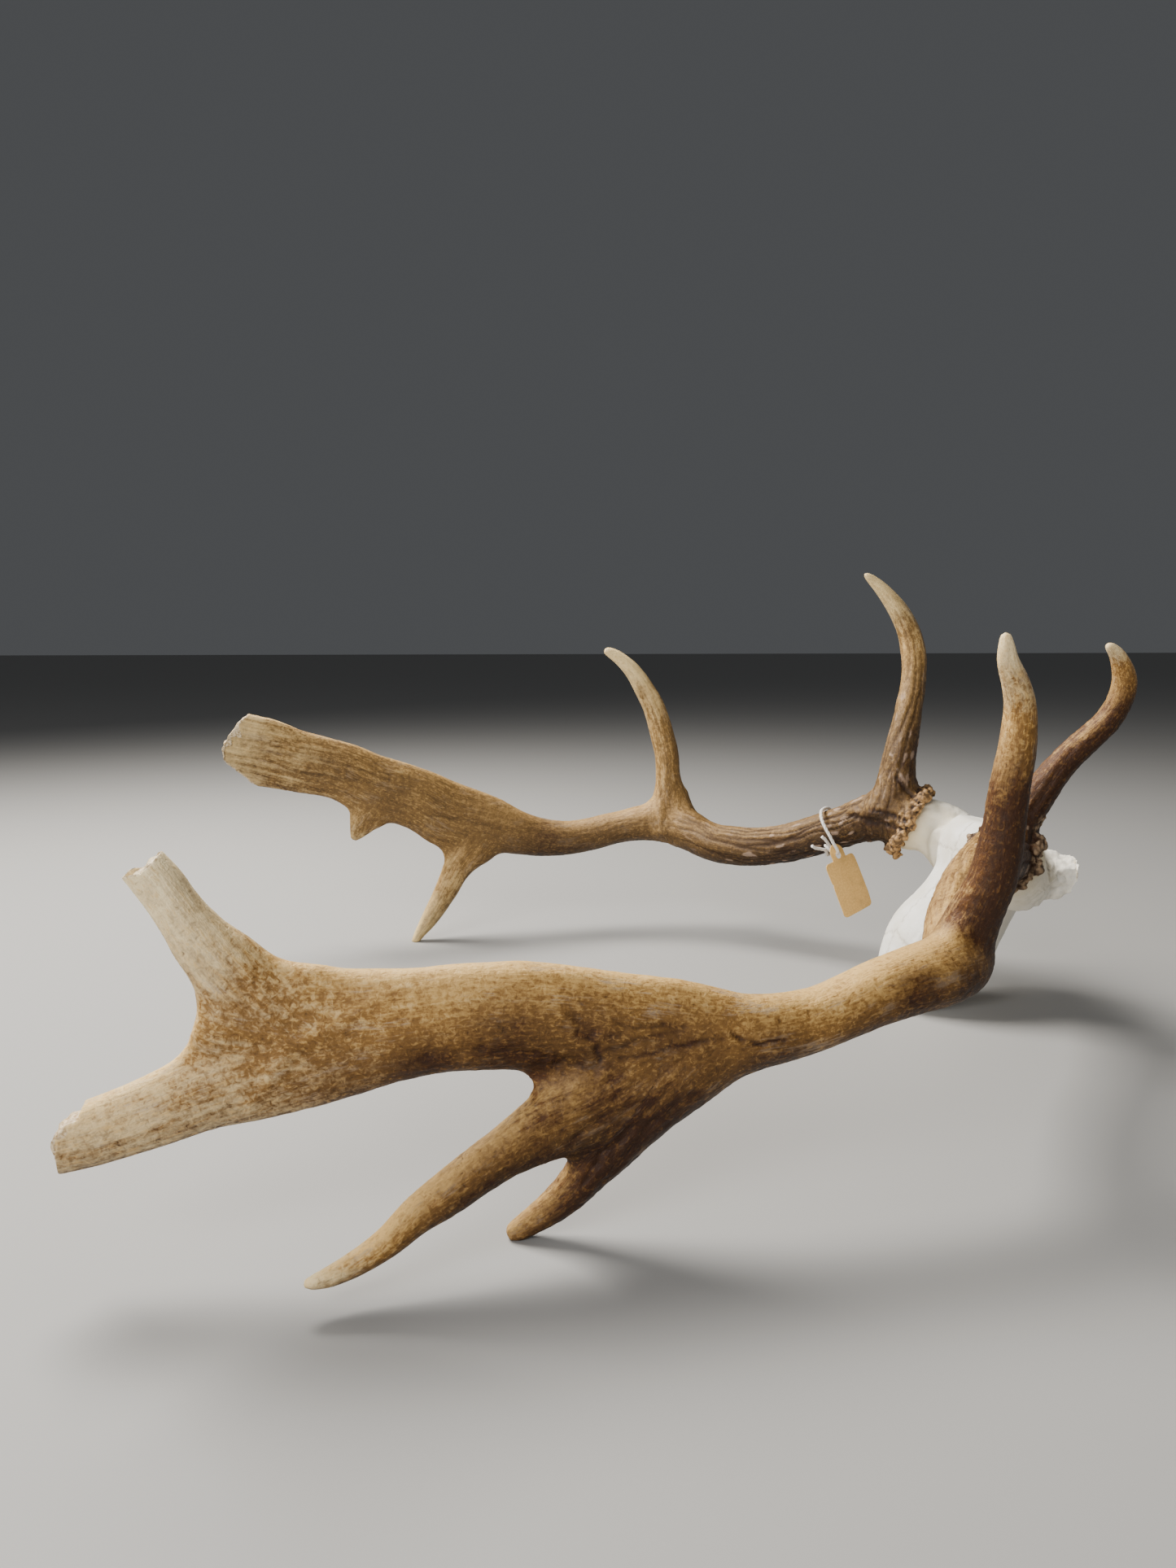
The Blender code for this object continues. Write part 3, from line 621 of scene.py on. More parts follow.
# Notches in the breaks: their (x, z) place, width and depth in millimetres.
NOTCHES = {
    "left": (((-73.5, 156.0), 3.0, 9.0), ((-77.5, 148.0), 2.4, 7.0)),
    "right": (
        ((-90.6, 61.0), 1.8, 3.6), ((-93.0, 56.0), 1.6, 3.2), ((-97.0, 52.0), 1.6, 2.8),
        ((-67.3, 142.0), 1.6, 3.0),
    ),
}
# Lines drawn on the sides that face -Y: their width and depth in millimetres, how dark they are, and
# their (x, z) places. A negative depth is a crest, and a negative darkness is how pale it is.
STROKES = {
    "left": (
        (1.6, 0.6, 0.30, ((-40, 128), (-10, 122), (20, 116))),
        (1.2, 0.5, 0.30, ((-55, 141), (-25, 137), (5, 128), (30, 118))),
        (1.8, 0.6, 0.25, ((60, 92), (85, 88), (108, 80))),
        (1.3, -0.9, -0.9, ((341, 143), (344, 132), (348, 125))),
        (1.6, 1.3, 0.55, ((342, 129), (348, 120), (353, 114), (359, 111))),
        (1.5, 1.5, 0.60, ((316, 111), (322, 109.5), (332, 108), (340, 105), (348, 103), (358, 100.5))),
        (1.6, -0.9, -0.8, ((322, 106), (332, 104), (342, 101), (349, 97.5))),
        (1.5, 1.4, 0.60, ((319, 103), (335, 99.5), (343, 96.5), (349, 93.5))),
    ),
    "right": (
        (0.8, 1.5, 0.75, ((149.9, 74.0), (144.1, 73.6), (140.4, 72.9), (137.5, 73.9))),
        (0.8, 1.3, 0.70, ((135.0, 75.2), (130.4, 77.7))),
        (0.8, 0.9, 0.45, ((127.2, 76.0), (118.7, 75.2), (106.7, 73.0), (98.0, 71.2), (90.9, 70.7))),
        (0.9, 0.9, 0.45, ((113.8, 80.7), (101.9, 82.0), (96.3, 81.7), (89.7, 83.8))),
        (0.9, 1.2, 0.50, ((75.0, 81.0), (80.0, 78.9), (82.7, 76.1), (82.3, 72.6), (83.5, 70.1))),
        (0.8, 1.0, 0.45, ((70.8, 71.2), (75.4, 69.3), (78.5, 67.3), (81.6, 67.5))),
        (0.9, 0.8, 0.35, ((85.4, 74.3), (90.9, 75.0), (97.9, 76.8), (106.6, 78.9), (113.8, 79.3))),
        (2.4, 1.1, 0.25, ((73.9, 86.9), (78.5, 82.3), (84.6, 80.2), (90.9, 80.5))),
        (2.6, 1.0, 0.12, (
            (20.0, 74.5), (33.4, 76.4), (44.5, 77.0), (55.6, 74.9), (63.2, 71.9), (68.5, 69.1),
        )),
        (1.2, 1.0, 0.40, ((94.2, 46.0), (86.3, 38.7), (81.6, 31.2), (78.5, 24.6))),
        (1.1, 1.0, 0.40, ((91.0, 41.5), (85.5, 35.6), (82.8, 29.4))),
        (1.1, 0.9, 0.30, ((99.0, 47.5), (91.5, 39.5), (87.5, 33.0))),
        (1.8, 0.9, 0.15, ((86.3, 52.4), (80.0, 48.2), (73.8, 44.1))),
        (1.6, 0.8, 0.25, ((118.1, 56.6), (110.1, 52.5), (102.1, 46.8), (98.2, 42.3))),
        (2.6, -0.9, -0.2, ((75.4, 66.9), (86.2, 68.5), (98.0, 70.3), (109.9, 71.4), (119.6, 72.2))),
        (2.4, -0.7, 0.0, ((73.8, 61.5), (78.5, 63.5), (86.2, 65.1))),
        (2.2, -0.6, 0.0, ((118.0, 64.0), (104.0, 60.5), (92.0, 56.0), (82.0, 56.5))),
    ),
}
# Dark spots of real stain and painted shade together, the shade under the palm and on the tines' and
# elbow's lower sides, as (place, reach and strength), in millimetres.
STAIN_AND_SHADE_SPOTS = {
    "left": (
        ((-10, 205, 128), 26.0, 0.25), ((70, 207, 92), 30.0, 0.20), ((34, 205, 104), 26.0, 0.30),
    ),
    "right": (
        ((84, -218, 33), 17.0, 0.95), ((100, -220, 48), 22.0, 0.7), ((80, -222, 76), 30.0, 0.60),
        ((52, -222, 74), 32.0, 0.85), ((24, -222, 64), 30.0, 0.95), ((112, -224, 68), 32.0, 0.65),
        ((146, -226, 66), 26.0, 0.60), ((190, -224, 72), 28.0, 0.50), ((90, -222, 50), 28.0, 0.75),
        ((235, -218, 84), 28.0, 0.8), ((208, -220, 84), 24.0, 0.85), ((84, -222, 60), 24.0, 0.80),
        ((2, -222, 62), 30.0, 0.5), ((60, -224, 62), 28.0, 1.1), ((222, -214, 100), 16.0, 0.6),
        ((258, -158, 99), 42.0, 0.9),
    ),
}


def straightened(limbs, points):
    """The main limb's and the nearest tine's straight places, the tine's share, and which tine it is."""
    names = list(limbs)
    found = [Limb(limbs[name], FINE_STEPS).straighten(points) for name in names]
    main_flow, main_close = found[0]
    tine_close = np.stack([close for _, close in found[1:]])
    nearest = tine_close.argmin(0)
    tine_flow = np.stack([flow for flow, _ in found[1:]])[nearest, np.arange(len(points))]
    share = 1 / (1 + np.exp(-BLEND_SHARPNESS * (main_close - tine_close.min(0))))
    return main_flow, tine_flow, share, nearest


def draw_strokes(side, points, normals):
    """The strokes' own relief, in metres, how dark they are and how pale their crests, on one side."""
    facing = fade(-normals[:, 1], 0.1, 0.5)
    warp = np.stack([noise_at(points, 5, 70 + i) for i in range(3)], axis=1) * 0.9 * MM
    uneven = 0.65 + 0.6 * noise_at(points, 4, 73)
    relief, dark, pale = (np.zeros(len(points)) for _ in range(3))
    for width, depth, darkness, path in STROKES[side]:
        line = np.exp(-(near_path(points + warp, path) / width) ** 2) * facing
        relief -= line * depth * uneven * MM
        dark = np.maximum(dark, line * darkness * np.clip(uneven + 0.3, 0, 1))
        pale = np.maximum(pale, line * max(-darkness, 0) * np.clip(2.4 * uneven - 1.0, 0, 1))
    return relief, dark, pale


def limb_amount(table, limbs, main_flow, tine_flow, share, nearest):
    """A table's share for every point, blended at the forks."""
    names = list(limbs)

    def along(name, flow):
        places, amounts = zip(*table[name])
        return np.interp(flow[:, 0] / MM, places, amounts)

    on_tines = np.stack([along(name, tine_flow) for name in names[1:]])[nearest, np.arange(len(share))]
    return along(names[0], main_flow) * (1 - share) + on_tines * share


def burr_reach(points, burr):
    """How far each point is from a burr's axis, and 1 where it is on the burr's knobbed disc."""
    axis, radius, band = unit(burr["axis"]), burr["radius"], burr["band"]
    rise = (points - burr["middle"]) @ axis
    off_axis = np.linalg.norm(points - burr["middle"] - rise[:, None] * axis, axis=1)
    outer = fade(off_axis, radius * 0.72, radius * 0.84)
    return off_axis, (1 - fade(rise, band * 1.15, band * 1.6)) * outer * (off_axis < radius * 1.4)


def flatten_foot(points, burr, off_axis):
    """Lifts what the relief has pushed below a burr's flat foot."""
    axis, radius = unit(burr["axis"]), burr["radius"]
    under = np.minimum((points - burr["middle"]) @ axis - FOOT_GAP, 0)
    under = under * (1 - fade(off_axis, radius * 0.80, radius * 0.86))
    return points - (under * (off_axis < radius * 1.6))[:, None] * axis


def break_ends(side, points, moved, seed):
    """Breaks the antler's ends raggedly; the moved points, and 1 where they are on a break."""
    rough = noise(points / BREAK_CELL, seed + 6) + 0.4 * noise_at(points, 2.1, seed + 7)
    notched = sum(
        cut * np.exp(-(near_path(points, (spot, spot)) / width) ** 2) for spot, width, cut in NOTCHES[side]
    )
    broken = np.zeros(len(points))
    for place, facing, reach, ragged in BREAKS[side]:
        place, facing = row_place(place), unit(facing)
        depth = (moved - place) @ facing + (notched - rough * ragged) * MM
        close = np.linalg.norm(points - place, axis=1) < reach * MM
        moved = moved - (np.maximum(depth, 0) * close)[:, None] * facing
        broken = np.maximum(broken, fade(depth, -0.9 * MM, 0.1 * MM) * close)
    return moved, broken


def stained_and_shaded(side, points, pale):
    """How dark each point is, by real stains and painted shade together: along its limb and round the spots'
    own places.
    """
    stain = np.maximum(-pale, 0)
    for place, reach, strength in STAIN_AND_SHADE_SPOTS[side]:
        stain = np.maximum(stain, strength * (1 - fade(from_place(points, place), 0.2 * reach, reach)))
    return stain


def antler_relief(side, limbs, mesh, burr):
    """Carves furrows, pearls and broken ends, and stores what the antler's material reads."""
    points, normals = points_of(mesh), normals_of(mesh)
    flows = straightened(limbs, points)
    main_flow, tine_flow, share, _ = flows
    furrowed = limb_amount(FURROWS[side], limbs, *flows)
    pale = limb_amount(PALENESS_AND_SHADE[side], limbs, *flows)
    stain = stained_and_shaded(side, points, pale)
    seed = RELIEF_SEEDS[side]

    def along_limbs(pattern):
        """A pattern on straight places, blended at the forks."""
        return pattern(main_flow) * (1 - share) + pattern(tine_flow) * share

    # Furrows run where a noise drawn out along the limb crosses 0, and pearls lie between them.
    wander = noise_at(points, 14, seed) * 0.8 * MM
    bend = np.stack((0 * wander, wander, -wander), axis=1)
    course = along_limbs(lambda flow: noise((flow + bend) / FURROW_CELL, seed + 1))
    furrow = np.clip(1 - np.abs(course) * 3.4, 0, 1) ** 1.4
    pearl = along_limbs(lambda flow: noise(flow / PEARL_CELL, seed + 2))
    pearl = fade(pearl, 0.12, 0.55) * (1 - furrow)
    striation = along_limbs(lambda flow: noise(flow / STRIATION_CELL, seed + 3))

    # The burr has a crust of its own, and pimples round it fade out along the beam and brow tine.
    pimpled = 1 - fade(np.linalg.norm(points - burr["middle"], axis=1), *PIMPLES_FADE)
    off_axis, on_burr = burr_reach(points, burr)
    crust = noise_at(points, 3.2, seed + 5) + 0.6 * noise_at(points, 1.7, seed + 8)
    drawn, drawn_dark, drawn_pale = draw_strokes(side, points, normals)
    height = (
        -FURROW_DEPTH * furrow * furrowed
        + drawn + PIMPLE_HEIGHT * pimpled * noise_at(points, 2.6, seed + 12)
        + PEARL_HEIGHT * pearl * furrowed ** 1.5
        + STRIATION_HEIGHT * striation * (0.15 + furrowed)
        + SWELL_HEIGHT * noise_at(points, 22, seed + 4)
        + STAIN_AND_SHADE_GRAIN_HEIGHT * noise_at(points, 2.8, seed + 9) * np.clip(stain, 0, 1)
    ) * (1 - on_burr) + CRUST_HEIGHT * crust * on_burr
    moved = flatten_foot(points + normals * height[:, None], burr, off_axis)
    moved, broken = break_ends(side, points, moved, seed)
    set_points(mesh, moved)
    relax(mesh, broken, 3)
    store(
        mesh, flow_main=main_flow, flow_tine=tine_flow, on_tine=share, pale=np.maximum(pale, 0),
        furrow=furrow * furrowed, crest=np.maximum(pearl * furrowed, drawn_pale), furrowed=furrowed,
        # the stain share holds real stains and painted shade together
        burr=on_burr, broken=broken, stain=stain, line=drawn_dark,
        # painted shading: 1 on the side that faces the key lamp, 0 on the side away
        weathered=0.5 + 0.5 * normals @ unit(KEY_LAMP_SIDE), relief=stand_out(mesh),
    )


# ---------------------------------------------------------------- what repeats, made by node trees

def new_tree(kind, name, inputs, outputs):
    """A node group with named sockets, given as (name, socket kind, value)."""
    tree = bpy.data.node_groups.new(name, kind)
    for label, socket, value in inputs:
        made = tree.interface.new_socket(label, in_out="INPUT", socket_type="NodeSocket" + socket)
        if value is not None:
            made.default_value = value
    for label, socket in outputs:
        tree.interface.new_socket(label, in_out="OUTPUT", socket_type="NodeSocket" + socket)
    return tree, tree.nodes.new("NodeGroupInput"), tree.nodes.new("NodeGroupOutput")


def add(tree, kind, inputs=None, **settings):
    """Adds a node, sets its settings, and sets or links its inputs."""
    node = tree.nodes.new(kind)
    for name, value in settings.items():
        setattr(node, name, value)
    for name, value in (inputs or {}).items():
        if isinstance(value, bpy.types.NodeSocket):
            tree.links.new(value, node.inputs[name])
        else:
            node.inputs[name].default_value = value
    return node


def maths(tree, operation, *values):
    """A Math node's result; operation is its name, such as MULTIPLY."""
    return add(tree, "ShaderNodeMath", dict(enumerate(values)), operation=operation).outputs[0]


def scaled(tree, vector, factor):
    """A vector drawn out or in by a factor."""
    return add(tree, "ShaderNodeVectorMath", {0: vector, "Scale": factor}, operation="SCALE").outputs[0]


def real_and_painted(tree, geometry, material, result):
    """Ends a geometry tree: its instances are made real and given their material."""
    real = add(tree, "GeometryNodeRealizeInstances", {"Geometry": geometry})
    painted = add(tree, "GeometryNodeSetMaterial", {"Geometry": real.outputs[0], "Material": material})
    tree.links.new(painted.outputs[0], result.inputs["Geometry"])


def burr_tree(material):
    """Lumps of uneven size set along a path, pushed a little in and out."""
    tree, given, result = new_tree(
        "GeometryNodeTree", "burr_knobs",
        [("Geometry", "Geometry", None), ("Count", "Int", 24), ("Lump Size", "Float", 6 * MM),
         ("Scatter", "Float", 1 * MM), ("Long", "Float", 1.4), ("Seed", "Int", 1)],
        [("Geometry", "Geometry")],
    )
    count, seed = given.outputs["Count"], given.outputs["Seed"]
    path = add(tree, "GeometryNodeResampleCurve", {"Curve": given.outputs["Geometry"], "Count": count})
    spots = add(tree, "GeometryNodeCurveToPoints", {"Curve": path.outputs[0], "Count": count})
    ball = add(tree, "GeometryNodeMeshIcoSphere", {"Radius": 0.5, "Subdivisions": 4})
    place = add(tree, "GeometryNodeInputPosition").outputs[0]
    rough = add(tree, "ShaderNodeTexNoise", {"Vector": place, "Scale": 2.4, "Detail": 2.0})
    swell = maths(tree, "MULTIPLY_ADD", rough.outputs["Fac"], 1.7, 0.15)
    lump = add(tree, "GeometryNodeSetPosition", {
        "Geometry": ball.outputs["Mesh"], "Position": scaled(tree, place, swell),
    })
    spread = add(tree, "FunctionNodeRandomValue", {
        0: (-1, -1, -1), 1: (1, 1, 1), "Seed": seed,
    }, data_type="FLOAT_VECTOR")
    moved = add(tree, "GeometryNodeSetPosition", {
        "Geometry": spots.outputs["Points"],
        "Offset": scaled(tree, spread.outputs[0], given.outputs["Scatter"]),
    })
    share = add(tree, "FunctionNodeRandomValue", {
        2: 0.5, 3: 1.4, "Seed": maths(tree, "ADD", seed, 7.0),
    }, data_type="FLOAT")
    size = maths(tree, "MULTIPLY", share.outputs[1], given.outputs["Lump Size"])
    long = maths(tree, "MULTIPLY", size, given.outputs["Long"])
    placed = add(tree, "GeometryNodeInstanceOnPoints", {
        "Points": moved.outputs[0], "Instance": lump.outputs["Geometry"],
        "Rotation": spots.outputs["Rotation"],
        "Scale": add(tree, "ShaderNodeCombineXYZ", {"X": size, "Y": long, "Z": size}).outputs[0],
    })
    tilt = add(tree, "FunctionNodeRandomValue", {
        0: (-0.9, -0.9, -3.0), 1: (0.9, 0.9, 3.0), "Seed": maths(tree, "ADD", seed, 3.0),
    }, data_type="FLOAT_VECTOR")
    turned = add(tree, "GeometryNodeRotateInstances", {
        "Instances": placed.outputs[0], "Rotation": tilt.outputs[0],
    })
    real_and_painted(tree, turned.outputs[0], material, result)
    return tree


def curve_object(name, points, cyclic=False):
    """A line through points, for a node tree to follow."""
    curve = bpy.data.curves.new(name, "CURVE")
    curve.dimensions = "3D"
    spline = curve.splines.new("POLY")
    spline.points.add(len(points) - 1)
    for knot, point in zip(spline.points, points):
        knot.co = (*point, 1.0)
    spline.use_cyclic_u = cyclic
    return new_object(name, curve)


def grow(thing, tree, values):
    """Runs a geometry node tree on an object and keeps the result as a plain mesh object."""
    modifier = thing.modifiers.new(tree.name, "NODES")
    modifier.node_group = tree
    for socket in tree.interface.items_tree:
        if socket.in_out == "INPUT" and socket.name in values:
            modifier[socket.identifier] = values[socket.name]
    graph = bpy.context.evaluated_depsgraph_get()
    mesh = bpy.data.meshes.new_from_object(thing.evaluated_get(graph), depsgraph=graph)
    grown = new_object(thing.name + "_grown", mesh)
    bpy.data.objects.remove(thing, do_unlink=True)
    return grown


# ---------------------------------------------------------------- antlers

BURR_POINTS = 96                                # round a burr
# The burr's disc under its knobs, as (share of its height, share of its radius).
BURR_DISC = ((-0.2, 0.72), (0.05, 0.84), (0.3, 0.88), (0.6, 0.78), (1.1, 0.66))
# Rows of knobs: share of the band's height, share of the radius, how many, their size and scatter in
# millimetres, and how drawn out they are.
KNOB_ROWS = (
    (-0.05, 0.91, 19, 4.2, 1.5, 1.25), (0.30, 0.88, 23, 5.6, 2.2, 1.1), (0.62, 0.85, 27, 4.6, 2.4, 1.2),
    (0.45, 0.92, 17, 3.2, 2.2, 1.3), (1.00, 0.80, 22, 3.0, 2.2, 1.3),
)
KNOB_SEEDS = {"left": 3, "right": 5}


def ring_round(axis):
    """Angles round an axis, and the unit vectors that lie at them."""
    side = unit(np.cross(axis, (0.0, 1.0, 0.0)))
    rise = np.cross(axis, side)
    angles = 2 * math.pi * np.arange(BURR_POINTS) / BURR_POINTS
    return angles, np.cos(angles)[:, None] * side + np.sin(angles)[:, None] * rise


def burr_shell(burr, tree, seed):
    """The knobs round a burr's band as plain points and faces."""
    axis = unit(burr["axis"])
    angles, ring = ring_round(axis)
    shells = []
    for row, (height, share, count, lump_mm, scatter_mm, long) in enumerate(KNOB_ROWS):
        uneven = 1 + 0.035 * np.cos(3 * angles + seed) + 0.02 * np.cos(7 * angles + row)
        reach = burr["radius"] * share * uneven
        path = burr["middle"] + axis * burr["band"] * height + ring * reach[:, None]
        knobs = grow(curve_object("burr_path", path, cyclic=True), tree, {
            "Count": count, "Lump Size": lump_mm * MM, "Scatter": scatter_mm * MM, "Long": long,
            "Seed": seed + row * 10,
        })
        shells.append(shell_of(knobs))
        bpy.data.objects.remove(knobs, do_unlink=True)
    return joined(shells)


def build_antler(side, limbs, burr, tree, material, nodes):
    """One antler: its limbs and burr in one skin, its knobs, and the relief over both."""
    axis = unit(burr["axis"])
    _, ring = ring_round(axis)
    disc = np.vstack([
        burr["middle"] + axis * burr["height"] * height + ring * burr["radius"] * share
        for height, share in BURR_DISC
    ])
    shells = [Limb(stations, COARSE_STEPS).tube() for stations in limbs.values()]
    shells.append((disc, tube_faces(len(BURR_DISC), BURR_POINTS)))
    antler = mesh_object(side + "_antler", *joined(shells))
    skin(antler, COARSE_CELL, COARSE_SMOOTHING)
    ease_forks(antler, FORK_CORNERS[side])
    slice_off(antler, burr["middle"] + axis * FOOT_GAP, -axis)
    base = shell_of(antler)
    bpy.data.objects.remove(antler, do_unlink=True)
    whole = mesh_object(side + "_antler", *joined([base, burr_shell(burr, tree, KNOB_SEEDS[side])]))
    skin(whole, FINE_CELL, FINE_SMOOTHING)
    antler_relief(side, limbs, whole.data, burr)
    coat(whole, material)
    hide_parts(*nodes)
    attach(whole, "root")


# ---------------------------------------------------------------- skull plate

# The two broken socket ends, as (place, reach), and the skull's seams and ridges, in millimetres.
RIM_ENDS = (((386.0, -52.0, 86.0), 40.0), ((389.0, 50.0, 86.0), 40.0))
SUTURE_HEIGHT, NAPE_HEIGHT = 93.0, 46.0
SUTURE_WIDTH, SUTURE_DEPTH = 0.7, 0.40
RIDGE_PLACE, RIDGE_WIDTH, RIDGE_HEIGHT = 13.0, 1.6, 0.60
BRAIN_TURN = Vector(SAW_NORMAL).to_track_quat("X", "Z").to_matrix()


def bone_seams(points, normals, outside):
    """The sutures and the two ridges on the outside of the braincase, from 0 to 1."""
    own = (points - MIDDLE) / MM
    aside, height = np.abs(own[:, 1]), own[:, 2]
    wiggle = noise_at(points, 3.4, 55) * 1.5 + noise_at(points, 1.7, 56) * 0.8
    domed = fade(-normals[:, 0], 0.0, 0.4)
    suture = np.zeros(len(points))
    for distance, part in (
        (own[:, 1] + wiggle, domed),
        (height - SUTURE_HEIGHT + 0.05 * aside + wiggle, fade(30 - aside, 0, 8)),
        (height - NAPE_HEIGHT + 0.45 * aside + wiggle, domed),
    ):
        suture = np.maximum(suture, np.exp(-(distance / SUTURE_WIDTH) ** 2) * part * outside)
    off_ridge = aside - RIDGE_PLACE - 0.10 * height + wiggle
    ridge = np.exp(-(off_ridge / RIDGE_WIDTH) ** 2) * fade(-normals[:, 0], -0.2, 0.3) * outside
    return suture, ridge


def break_sockets(points, moved):
    """Breaks the sockets' ends along their rough planes."""
    rough = noise_at(points, 6, 63) * 1.2 + noise_at(points, 2.4, 64) * 0.6
    for place, facing, reach in SOCKET_BREAKS:
        place, facing = row_place(place), unit(facing)
        over = np.maximum((moved - place) @ facing - rough * MM, 0)
        over *= 1 - fade(np.linalg.norm(points - place, axis=1) / MM, 0.7 * reach, reach)
        moved = moved - over[:, None] * facing
    return moved


def skull_relief(mesh):
    """Sutures, lumpy broken rims and the sawn face's open grain, stored for the bone's material."""
    points, normals = points_of(mesh), normals_of(mesh)
    saw_way = unit(SAW_NORMAL)
    sawn = fade((points - SAW_POINT) @ saw_way / MM, -1.2, -0.3) * fade(normals @ saw_way, 0.7, 0.95)
    away = (points - BRAIN_CENTRE) @ np.array(BRAIN_TURN)
    inner = 1 - fade(np.linalg.norm(away / np.array(BRAIN_RADII), axis=1), 1.04, 1.10)
    suture, ridge = bone_seams(points, normals, (1 - sawn) * (1 - inner))
    rim = np.zeros(len(points))
    for place, reach in RIM_ENDS:
        away = np.linalg.norm((points - MIDDLE) / MM - place, axis=1)
        rim = np.maximum(rim, 1 - fade(away, 0.35 * reach, reach))
    lumps = np.abs(noise_at(points, 8, 57)) * 1.3 + np.abs(noise_at(points, 3.6, 58)) * 0.7
    # In millimetres: swells all over, seams and ridges, lumps on the rims and a rough brain hollow.
    height = (
        noise_at(points, 16, 51) * 0.3 + noise_at(points, 5, 52) * 0.10
        - SUTURE_DEPTH * suture + RIDGE_HEIGHT * ridge
        + rim * (1.9 * (lumps - 0.5) + 0.25 * noise_at(points, 1.9, 59))
        + 0.25 * inner * noise_at(points, 6, 60)
    )
    set_points(mesh, break_sockets(points, points + normals * (height * MM)[:, None]))
    pedicle = np.minimum(*(
        np.linalg.norm(points - burr["middle"], axis=1) for burr in (LEFT_BURR, RIGHT_BURR)
    ))
    store(
        mesh, pedicle=1 - fade(pedicle, 16 * MM, 42 * MM), rim=rim, suture=suture, sawn=sawn,
        inner=inner, relief=stand_out(mesh),
    )


def hollow_out(plate):
    """Opens the braincase: an egg-shaped hollow behind the sawn face."""
    shell = bmesh.new()
    size = Matrix.Diagonal((*BRAIN_RADII, 1.0))
    place = Matrix.Translation(Vector(BRAIN_CENTRE)) @ BRAIN_TURN.to_4x4() @ size
    bmesh.ops.create_uvsphere(shell, u_segments=40, v_segments=24, radius=1.0, matrix=place)
    mesh = bpy.data.meshes.new("brain_hollow")
    shell.to_mesh(mesh)
    shell.free()
    hollow = new_object("brain_hollow", mesh)
    boolean = plate.modifiers.new("hollow", "BOOLEAN")
    boolean.operation = "DIFFERENCE"
    boolean.object = hollow
    settle(plate)
    bpy.data.objects.remove(hollow, do_unlink=True)


def build_skull_plate(material):
    """The sawn skull plate with its pedicles, one skin over all its limbs."""
    shells = [Limb(stations, COARSE_STEPS).tube() for stations in SKULL_LIMBS]
    plate = mesh_object("skull_plate_bone", *joined(shells))
    skin(plate, COARSE_CELL, COARSE_SMOOTHING)
    slice_off(plate, SAW_POINT, SAW_NORMAL)
    for burr in (LEFT_BURR, RIGHT_BURR):
        # Only the pedicle's own end lies past the burr, so nothing else of the plate is cut.
        slice_off(plate, burr["middle"], burr["axis"])
    hollow_out(plate)
    skin(plate, FINE_CELL, BONE_SMOOTHING)
    skull_relief(plate.data)
    coat(plate, material)
    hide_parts("skull_plate")
    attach(plate, "root")


# ---------------------------------------------------------------- tag and string

TAG_HOLE = Vector((315.8, 81.0, 75.6)) * MM + Vector(MIDDLE)
TAG_TURN, TAG_LEAN, TAG_PITCH = math.radians(24.0), math.radians(-12.7), math.radians(-19.4)
TAG_WIDTH, TAG_BODY, TAG_THICKNESS = 27.6 * MM, 37.0 * MM, 0.5 * MM
TAG_NECK_WIDTH, TAG_NECK_RISE, TAG_SHOULDER_DROP = 12.0 * MM, 7.6 * MM, 2.6 * MM
TAG_CORNER, TAG_NECK_FILLET = 3.0 * MM, 0.6 * MM
TAG_HOLE_RADIUS, TAG_HOLE_POINTS = 2.5 * MM, 32
TAG_NICK = ((0.0, -15.6), (0.7, -16.6), (0.3, -17.6), (0.0, -17.8))     # millimetres, from a long edge
# The lines that cut the card into millimetre squares, so that it can bend: the way they face, how
# many there are and where the first one is, in millimetres.
TAG_GRID = (((1, 0, 0), 27, -13), ((0, 1, 0), 48, -39))

STRING_DIAMETER, KNOT_DIAMETER = 2.2 * MM, 1.9 * MM
STRING_POINTS, KNOT_POINTS = 300, 90
STRANDS, LOBE_SHARE = 3, 0.22                   # how many, and the depth between them over the radius
TURN_LENGTH, YARN_STEP = 9.0 * MM, 0.45 * MM    # of a whole twist, and from ring to ring of the mesh
STRING_ROUTE = [
    (299.5, 86.5, 81.3), (303, 88, 79.3), (307, 89.3, 78.4), (310.5, 90.3, 77.4), (313, 92.8, 75.6),
    (315.6, 97.5, 73.0), (318.8, 103, 71.2), (322.6, 107.8, 71.9), (326.8, 111.9, 76.4), (329.4, 113.9, 83.0),
    (329.7, 114.4, 90.2), (326.8, 113.0, 97.3), (320.9, 108.7, 102.6), (312, 99, 103.2), (307.6, 91.5, 101.2),
    (306.2, 86.3, 97.8), (306.8, 82.4, 93.6), (308.4, 79.4, 89.2), (310.2, 77.3, 84.6), (312.0, 76.5, 81.4),
    (313.6, 77.1, 78.8), (314.9, 79.4, 76.9), (315.4, 82.4, 76.3), (315.0, 85.1, 77.0), (313.8, 86.9, 78.9),
    (312.2, 87.4, 81.2), (310.4, 86.9, 83.4), (308.5, 86.2, 85.4), (306.2, 86.2, 87.3),
]
KNOT_ROUTE = [
    (313.6, 88.6, 78.2), (311.6, 90.2, 80.0), (309.7, 88.0, 80.8), (310.7, 85.0, 79.2),
    (313.4, 84.6, 77.2), (315.0, 87.0, 76.2), (313.8, 89.8, 77.0), (311.4, 91.0, 78.8),
]


